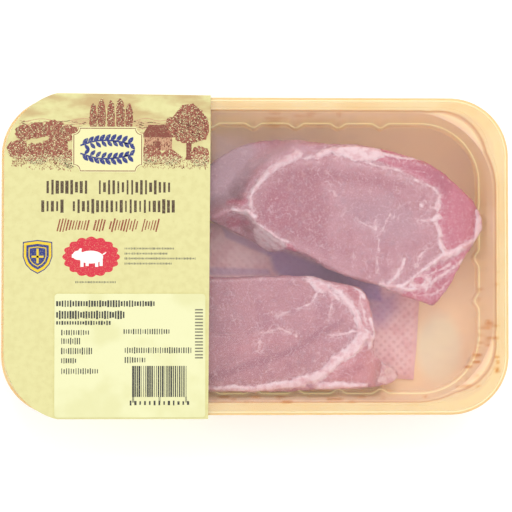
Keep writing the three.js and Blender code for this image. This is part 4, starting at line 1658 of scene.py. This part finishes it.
def engraved_strokes_form() -> NodeForm:
    """Builds the tree that scatters short engraved strokes over areas, thinning out towards the front."""
    kinds = {"Geometry": "Geometry", "Density": "Float", "Fade Low": "Float", "Fade High": "Float"}
    form = NodeForm("EngravedStrokes", {**kinds, "Turn Low": "Vector", "Turn High": "Vector"})
    values = form.values
    place = add_node(form.tree, "GeometryNodeInputPosition")
    axes = add_node(form.tree, "ShaderNodeSeparateXYZ", {0: place})
    limits = {"From Min": values["Fade Low"], "From Max": values["Fade High"], "To Max": values["Density"]}
    density = add_node(form.tree, "ShaderNodeMapRange", {"Value": axes.outputs["Y"], **limits})
    inputs = {"Mesh": values["Geometry"], "Density": density, "Seed": values["Seed"]}
    scatter = add_node(form.tree, "GeometryNodeDistributePointsOnFaces", inputs)
    form.lay(scatter.outputs["Points"], form.random("Turn Low", "Turn High"))
    return form


@dataclass(frozen=True)
class Row:
    """A word or a line of small print, as a row of strokes that spell nothing.

    It has the edges of the row and the distance from stroke to stroke. The thinnest and the thickest stroke
    are shares of that distance, the shortest is a share of the row's height, and they lean by degrees.
    """

    left: float
    right: float
    low: float
    high: float
    pitch: float
    thin: float = 0.35
    thick: float = 0.75
    short: float = 0.55
    lean: float = 0.0


class Print:
    """Ink laid on a flat panel as thin closed shapes, gathered into one piece."""

    layer: float = 0.006
    depth: float = 0.04
    sunk: float = 0.03
    hatch_short: float = 0.4
    hatch_widths: tuple = (0.12, 0.3)

    def __init__(self, name: str, surface: float) -> None:
        """Starts an empty print.

        Args:
            name: the piece's name.
            surface: the panel's height.
        """
        self.name = name
        self.surface = surface
        self.form = bmesh.new()
        self.inks: list[Ink] = []
        self.rows = printed_row_form()
        self.scatter = engraved_strokes_form()
        self.seed = 0

    def top(self, layer: int) -> float:
        """Returns the height of a layer's top."""
        return self.surface + self.layer * (layer + 1)

    def gather(self, mesh: Mesh, ink: Ink) -> None:
        """Adds a mesh in one ink and frees it."""
        if ink not in self.inks:
            self.inks.append(ink)
        start = len(self.form.faces)
        self.form.from_mesh(mesh)
        self.form.faces.ensure_lookup_table()
        for face in self.form.faces[start:]:
            face.material_index = self.inks.index(ink)
        bpy.data.meshes.remove(mesh)

    def shapes(self, outlines: list, ink: Ink, layer: int = 0) -> None:
        """Adds flat shapes by their outlines."""
        solids = prisms(outlines, self.surface - self.sunk, self.top(layer))
        self.gather(new_mesh("shapes", *solids), ink)

    def stroke(
        self, form: NodeForm, values: dict, least: tuple, most: tuple, ink: Ink, base: Mesh | None = None
    ) -> None:
        """Runs a form with the next seed and gathers the strokes that it lays.

        Args:
            form: the form.
            values: the form's own inputs.
            least: the smallest size of a stroke along X and Y.
            most: the largest size.
            ink: the strokes' ink.
            base: the mesh that the form runs on, where it needs one.
        """
        self.seed += 1
        common = {
            "Smallest": [v * MM for v in (*least, self.depth)],
            "Largest": [v * MM for v in (*most, self.depth)],
            "Seed": self.seed,
            "Ink": ink.material(),
        }
        self.gather(form.evaluate({**values, **common}, base), ink)

    def row(self, row: Row, ink: Ink, layer: int = 0) -> None:
        """Adds one row of strokes."""
        height = row.high - row.low
        count = max(1, round((row.right - row.left) / row.pitch))
        pitch = (row.right - row.left) / count
        start = (row.left + pitch / 2, (row.low + row.high) / 2, self.top(layer) - self.depth / 2)
        values = {
            "Count": count,
            "Start": [v * MM for v in start],
            "Pitch": [pitch * MM, 0.0, 0.0],
            "Turn": [0.0, 0.0, -math.radians(row.lean)],
        }
        least = (row.thin * pitch, row.short * height)
        self.stroke(self.rows, values, least, (row.thick * pitch, height), ink)

    def hatch(
        self, outlines: list, ink: Ink, layer: int, density: float, length: float, turns: tuple, fade: tuple
    ) -> None:
        """Scatters engraved strokes over areas.

        Args:
            outlines: the areas.
            ink: the strokes' ink.
            layer: the layer that they lie on.
            density: strokes for each square millimetre where they are densest.
            length: the longest stroke.
            turns: the least and the greatest angle of a stroke, in degrees.
            fade: the y where they begin and the y from which they are densest.
        """
        points, faces = [], []
        for outline in outlines:
            base = len(points)
            points += [(*point, self.top(layer) - self.depth / 2) for point in outline]
            faces += [[base + i for i in triangle] for triangle in triangles(outline)]
        area = new_mesh("area", points, faces)
        values = {"Density": density / MM**2}
        values |= {label: y * MM for label, y in zip(("Fade Low", "Fade High"), fade)}
        ends = zip(("Turn Low", "Turn High"), turns)
        values |= {label: [0.0, 0.0, math.radians(turn)] for label, turn in ends}
        thin, thick = self.hatch_widths
        self.stroke(self.scatter, values, (length * self.hatch_short, thin), (length, thick), ink, area)
        bpy.data.meshes.remove(area)

    def build(self) -> Object:
        """Makes the piece."""
        mesh = bpy.data.meshes.new(self.name)
        self.form.to_mesh(mesh)
        self.form.free()
        for ink in self.inks:
            mesh.materials.append(ink.material())
        return placed_object(mesh)


def ellipse(
    x: float, y: float, wide: float, high: float, count: int = 40, ruffle: float = 0.0, lobes: int = 0
) -> Array:
    """Returns an ellipse's outline, with a scalloped or leafy edge where ruffle isn't 0."""
    angle = np.linspace(0, 2 * math.pi, count, endpoint=False)
    smooth = on_circle(angle) * (wide, high)
    if lobes:
        reach = 1 + ruffle * np.abs(np.cos(angle * lobes / 2))
    else:
        reach = 1 + ruffle * Unevenness(31).at(smooth + (x, y), 0.9)
    return smooth * reach[:, None] + (x, y)


def leaf(x: float, y: float, length: float, width: float, turn: float) -> Array:
    """Returns a leaf's outline from its stalk end, with its turn in degrees."""
    share = np.linspace(0, 1, 9)
    bulge = np.sin(share * math.pi) ** 0.8 * width / 2
    upper = np.stack([share * length, bulge], axis=1)
    lower = np.stack([share[1:-1][::-1] * length, -bulge[1:-1][::-1]], axis=1)
    return np.vstack([upper, lower]) @ turned(turn) + (x, y)


def ribbon(points: tuple, width: float) -> Array:
    """Returns the outline of a line of even width through points."""
    line = smooth_curve(points, 1.0)
    along = np.gradient(line, axis=0)
    across = np.stack([-along[:, 1], along[:, 0]], axis=1)
    across *= width / 2 / np.linalg.norm(across, axis=1)[:, None]
    return np.vstack([line + across, (line - across)[::-1]])


def box(left: float, right: float, low: float, high: float) -> Array:
    """Returns a rectangle's outline."""
    return np.array([(left, low), (right, low), (right, high), (left, high)], float)


def notched(left: float, right: float, low: float, high: float, notch: float) -> Array:
    """Returns the outline of a plaque whose corners are hollowed by quarter circles."""
    quarter = np.linspace(0, math.pi / 2, 7)
    hollow = on_circle(quarter) * notch
    points = []
    for turn, corner in enumerate(box(left, right, low, high)):
        points.append(hollow[::-1] @ turned(turn * 90) + corner)
    return np.vstack(points)


@dataclass
class SleevePrint:
    """The sleeve's print: an engraved countryside, a plaque, headline rows, a shield and a rosette."""

    levels: Levels
    sleeve: CardSleeve
    fade: tuple = (38.5, 46)
    bushes: tuple = (
        (-104.5, 55.5, 4.2, 3.4), (-98.5, 56.5, 4.6, 3.6), (-91.5, 57, 5.2, 4), (-85, 55.5, 4.6, 3.6),
        (-107.5, 48, 4.6, 4.4), (-99, 46, 6.2, 4.8), (-90.5, 48.5, 6.2, 5.4), (-84.5, 44, 4.8, 4.2),
        (-48, 46, 5.2, 4), (-25.5, 45, 4.6, 4.4), (-39, 44.5, 4.6, 3.4),
    )
    poplars: tuple = (
        (-73.6, 61.5, 1.7, 7.4), (-69.8, 63, 1.9, 8.2), (-65.6, 62.4, 1.8, 7.6), (-61.4, 63.4, 2, 8),
        (-57.4, 61.6, 1.7, 7),
    )
    crown: tuple = (
        (-35.5, 58.5, 5.4, 5.2), (-30, 63.5, 6, 5.2), (-25.6, 58, 4.4, 6.2), (-30.5, 55.5, 6.4, 4.6),
    )
    badge: tuple = (-83, -51, 37.6, 58.3)

    def leafy(self, place: tuple) -> Array:
        """Returns one bush's outline, kept on the panel."""
        outline = ellipse(*place, count=56, ruffle=0.13)
        edge = self.sleeve.left_edge(outline[:, 1], np.ones(len(outline), bool)) + 0.6
        outline[:, 0] = np.clip(outline[:, 0], edge, self.sleeve.right - 0.3)
        return outline

    def countryside(self, ink: Print) -> None:
        """Prints far hills, poplars, a barn, a spreading tree and bushes, fading out at the front."""
        hills = [
            ribbon(((-106, 60.2), (-97, 61.8), (-88, 60.6), (-78, 62), (-74, 61)), 0.3),
            ribbon(((-105, 58.9), (-96, 60.2), (-86, 59.2), (-76, 60)), 0.25),
            ribbon(((-56, 60.5), (-50, 62.2), (-44, 61), (-37, 62)), 0.3),
            ribbon(((-55, 58.6), (-48, 60.3), (-41, 59.2)), 0.25),
            ribbon(((-54, 56.8), (-49, 58.2), (-42, 57.4)), 0.25),
        ]
        ink.shapes(hills, Ink.ENGRAVING_PALE)
        far = [box(-107, -76, 55, 61), box(-56, -38, 52, 61)]
        ink.hatch(far, Ink.ENGRAVING_PALE, 0, 1.6, 1.5, (-8, 8), (40, 50))

        bushes = [self.leafy(place) for place in self.bushes]
        poplars = [ellipse(*place, count=40, ruffle=0.1) for place in self.poplars]
        crown = [self.leafy(place) for place in self.crown]
        barn_wall = box(-50.6, -38, 47.6, 54)
        barn_roof = np.array([(-52, 53.6), (-36.6, 53.6), (-40.6, 59.2), (-48.6, 59.2)])
        ink.shapes([barn_wall], Ink.ENGRAVING_PALE, 2)
        ink.hatch([barn_wall], Ink.ENGRAVING, 3, 3, 0.9, (80, 100), (40, 42))
        ink.shapes([barn_roof, box(-45.8, -43.2, 47.6, 51.8)], Ink.ENGRAVING_DEEP, 4)
        ink.shapes([box(-31.6, -29.2, 43.5, 53), box(-75.5, -55.8, 53.4, 56.6)], Ink.ENGRAVING_DEEP, 5)
        masses = [*poplars, *crown, *bushes]
        for i, outline in enumerate(masses):
            ink.shapes([outline], Ink.ENGRAVING, 6 + i)
        ink.hatch(masses, Ink.CREAM, 27, 1.1, 0.8, (-70, 70), (30, 40))
        ink.hatch(masses, Ink.ENGRAVING_DEEP, 28, 1.6, 0.8, (-70, 70), self.fade)
        front = [
            ribbon(((-110, 43), (-100, 41.5), (-90, 41.5), (-83, 41)), 5.5),
            ribbon(((-51, 42.5), (-40, 42), (-30, 42), (-22, 42)), 5.5),
        ]
        ink.hatch(front, Ink.ENGRAVING, 3, 4.2, 0.9, (20, 160), (38.2, 45))
        ink.hatch(bushes, Ink.CREAM, 29, 9, 1, (-40, 40), (46, 40))

    def plaque(self, ink: Print) -> None:
        """Prints the plaque with its frame and its two leafy sprigs."""
        left, right, low, high = self.badge
        ink.shapes([notched(left, right, low, high, 3.2)], Ink.CREAM, 31)
        ink.shapes([notched(left + 0.5, right - 0.5, low + 0.5, high - 0.5, 3)], Ink.ENGRAVING_DEEP, 32)
        ink.shapes([notched(left + 0.9, right - 0.9, low + 0.9, high - 0.9, 2.8)], Ink.CREAM, 33)
        sprigs = []
        for y, flip in ((51.4, 1), (44.6, -1)):
            bends = ((-79.4, -1.6), (-72, 0.5), (-64, 0.5), (-55.4, -1.2))
            sprigs.append(ribbon(tuple((x, y + flip * lift) for x, lift in bends), 0.75))
            for i in range(9):
                x = -78.4 + i * 2.55
                base = y + flip * (0.6 - 2 * ((x + 67.5) / 11.5) ** 2)
                sprigs.append(leaf(x, base, 3.9, 1.9, flip * 50))
                sprigs.append(leaf(x + 0.9, base, 3.5, 1.7, flip * -48))
        for i, outline in enumerate(sprigs):
            ink.shapes([outline], Ink.NAVY, 34 + i % 4)

    def headline(self, ink: Print) -> None:
        """Prints two headline rows and a slanted line below them."""
        words = ((-95.1, -75.7, 27.6), (-71.6, -38.3, 27.6), (-97.3, -86.5, 19), (-83.3, -36.4, 19))
        for left, right, low in words:
            ink.row(Row(left, right, low, low + 6.7, 2.1, 0.35, 0.72, 0.62), Ink.TITLE)
        for left, right in ((-89.7, -75.3), (-73.4, -68.1), (-66.4, -53.3), (-51.5, -43.9)):
            ink.row(Row(left, right, 10.6, 17, 1.35, 0.32, 0.58, 0.55, 14), Ink.TAGLINE)

    def marks(self, ink: Print) -> None:
        """Prints the shield and the rosette with its pig."""
        shield = np.array(
            [(-6.6, 6.6), (0, 7.5), (6.6, 6.6), (6.7, 0), (5.4, -3.6), (3.2, -6), (0, -7.8), (-3.2, -6),
             (-5.4, -3.6), (-6.7, 0)]
        ) + (-98.5, -0.4)
        middle = np.array([(-98.5, -0.2)])
        bands = ((1, Ink.NAVY), (0.93, Ink.YELLOW), (0.76, Ink.NAVY), (0.6, Ink.YELLOW), (0.54, Ink.NAVY))
        for layer, (share, colour) in enumerate(bands):
            ink.shapes([middle + (shield - middle) * share], colour, layer)
        ink.shapes([box(-99, -98, -3.4, 3.2), box(-101.2, -95.8, -0.9, 0)], Ink.YELLOW, 6)

        ink.shapes([ellipse(-74.4, -0.5, 11.6, 8.2, 120, 0.12, 16)], Ink.RED)
        pig = [
            ellipse(-74.6, -0.6, 5.6, 2.9), ellipse(-80.2, 0.2, 2.5, 2.1), box(-83.1, -81.4, -0.9, 0.7),
            box(-79.2, -77.8, -5, -1.6), box(-76.9, -75.5, -4.6, -1.6), box(-72.6, -71.2, -5, -1.6),
            box(-70.6, -69.2, -4.6, -1.6), leaf(-80, 1.4, 2.4, 1.3, 60), leaf(-69.6, 0.2, 2.6, 0.6, 35),
        ]
        for i, outline in enumerate(pig):
            ink.shapes([outline], Ink.WHITE, 2 + i)

    def build(self) -> Object:
        """Builds the whole print."""
        ink = Print("sleeve_print", self.levels.sleeve_top)
        self.countryside(ink)
        self.plaque(ink)
        self.headline(ink)
        self.marks(ink)
        for y, right in ((3.3, -37), (1, -40), (-1.2, -27.2), (-3.5, -38), (-11.9, -63.2)):
            left = -81.6 if y < -10 else -59.5
            ink.row(Row(left, right, y - 0.5, y + 0.5, 0.7, 0.45, 0.85, 0.65), Ink.GREY)
        return ink.build()


@dataclass
class LabelPrint:
    """The label's thermal print: heavy and light rows, a code of bars and an upright strip."""

    levels: Levels

    def build(self) -> Object:
        """Builds the whole print."""
        ink = Print("label_print", self.levels.paper_top)
        heavy, light = (1.2, 0.45, 0.78, 0.62), (1.05, 0.3, 0.6, 0.65)
        rows = (
            (-90.2, -45.5, -23.2, -20, heavy), (-90.2, -59.1, -28.6, -24.7, heavy),
            (-90.2, -65.4, -31.3, -29.2, heavy), (-88, -75, -35.9, -33.3, light),
            (-88, -79, -40, -36.9, light), (-88, -73.6, -44.5, -41.3, light),
            (-88, -80.8, -48.5, -46, light), (-88, -70.9, -53.4, -50.6, light),
            (-60, -38.8, -35.5, -32.8, light), (-59.5, -28.9, -44.1, -41.1, light),
            (-59.5, -49.6, -48.4, -45.5, light),
        )
        for *edges, style in rows:
            ink.row(Row(*edges, *style), Ink.THERMAL)
        ink.row(Row(-55.9, -31.1, -63.6, -49.6, 0.95, 0.25, 0.95, 1), Ink.THERMAL)
        for left in (-55.9, -44, -32.1):
            ink.row(Row(left, left + 1, -66.1, -63.5, 0.5, 0.45, 0.6, 1), Ink.THERMAL)
        ink.row(Row(-57.6, -29.6, -67.4, -65.2, 2.15, 0.3, 0.5, 0.7), Ink.THERMAL, 1)
        for i in range(8):
            y = -24 - i * 2.9
            ink.shapes([box(-27.6, -24, y - 2, y - 1.35), box(-27.6, -24, y - 0.65, y)], Ink.GREY)
        return ink.build()


@dataclass
class Studio:
    """A pale floor, soft light and the camera, which looks down from a little left and in front."""

    levels: Levels
    distance: float = 900.0
    camera_x: float = -30.0
    camera_y: float = -25.0
    view_width: float = 231.58
    sensor: float = 36.0
    floor_half: float = 3000.0
    floor_white: float = 0.95
    floor_glow: float = 0.13
    softboxes: tuple = (
        ("softbox_back", (0.3, 2.0, 2.6), 1.8, 29.0),
        ("softbox_front", (-0.3, -2.2, 2.4), 1.8, 9.0),
    )

    def build(self) -> None:
        """Builds the floor, the world, the lights and the camera."""
        self.floor()
        world = bpy.data.worlds.new("studio")
        world.use_nodes = True
        background = world.node_tree.nodes["Background"]
        background.inputs["Color"].default_value = (1, 1, 1, 1)
        background.inputs["Strength"].default_value = 1.0
        scene = bpy.context.scene
        scene.world = world
        scene.view_settings.view_transform = "Standard"
        scene.view_settings.look = "None"
        for softbox in self.softboxes:
            self.light(*softbox)
        scene.camera = self.camera()

    def floor(self) -> None:
        """Adds the pale floor, which belongs to the stage."""
        half = self.floor_half
        corners = np.column_stack([box(-half, half, -half, half), np.zeros(4)])
        floor = placed_object(new_mesh("floor", corners, [[0, 1, 2, 3]]))
        white = {
            "Base Color": (self.floor_white,) * 3 + (1,),
            "Roughness": 0.9,
            "Emission Color": (1, 1, 1, 1),
            "Emission Strength": self.floor_glow,
        }
        floor.data.materials.append(dressed(bare_material("floor_white"), white))

    def camera(self) -> Object:
        """Adds the camera, aimed at the middle of the rim."""
        camera = bpy.data.cameras.new("camera")
        camera.sensor_width = self.sensor
        camera.lens = self.sensor * self.distance / self.view_width
        placed = bpy.data.objects.new("camera", camera)
        bpy.context.scene.collection.objects.link(placed)
        eye = Vector((self.camera_x, self.camera_y, self.levels.rim_top + self.distance)) * MM
        placed.location = eye
        aim = Vector((0.0, 0.0, self.levels.rim_top)) * MM
        back = (eye - aim).normalized()
        right = Vector((0.0, 1.0, 0.0)).cross(back).normalized()
        placed.rotation_euler = Matrix((right, back.cross(right), back)).transposed().to_euler()
        return placed

    def light(self, name: str, place: tuple, size: float, power: float) -> None:
        """Adds a square softbox aimed at the pack.

        Args:
            name: the light's name.
            place: where it hangs, in metres.
            size: its side, in metres.
            power: its power, in watts.
        """
        lamp = bpy.data.lights.new(name, "AREA")
        lamp.energy = power
        lamp.size = size
        obj = bpy.data.objects.new(name, lamp)
        obj.location = place
        obj.rotation_euler = (-Vector(place)).to_track_quat("-Z", "Y").to_euler()
        bpy.context.scene.collection.objects.link(obj)


def settle(obj: Object, slot: str, *nodes: str) -> None:
    """Lets a finished piece ride on the pack, hides the solids that it stands for, and logs the slot named
    for it.
    """
    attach(obj, BODY)
    if nodes:
        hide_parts(*nodes)
    log.info("%s: %d faces, slot %s", obj.name, len(obj.data.polygons), slot)


def main() -> None:
    """Builds every piece in order."""
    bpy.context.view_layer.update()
    logging.basicConfig(level=logging.INFO, format="%(message)s")
    levels = Levels.from_frame()
    Studio(levels).build()
    settle(Tray(levels).build(), "tray_plastic", "tray")
    settle(SoakerPad(levels).build(), "pad", "soaker_pad")
    settle(upper_chop(levels).build(), "pork", "chop_upper")
    settle(lower_chop(levels).build(), "pork", "chop_lower")
    settle(LidFilm(levels).build(), "film", "lid_film")
    settle(CardSleeve(levels).build(), "sleeve_card", "card_sleeve")
    settle(PriceLabel(levels).build(), "label_paper", "price_label")
    settle(SleevePrint(levels, CardSleeve(levels)).build(), "sleeve_card")
    settle(LabelPrint(levels).build(), "label_paper")


if __name__ == "__main__":
    main()
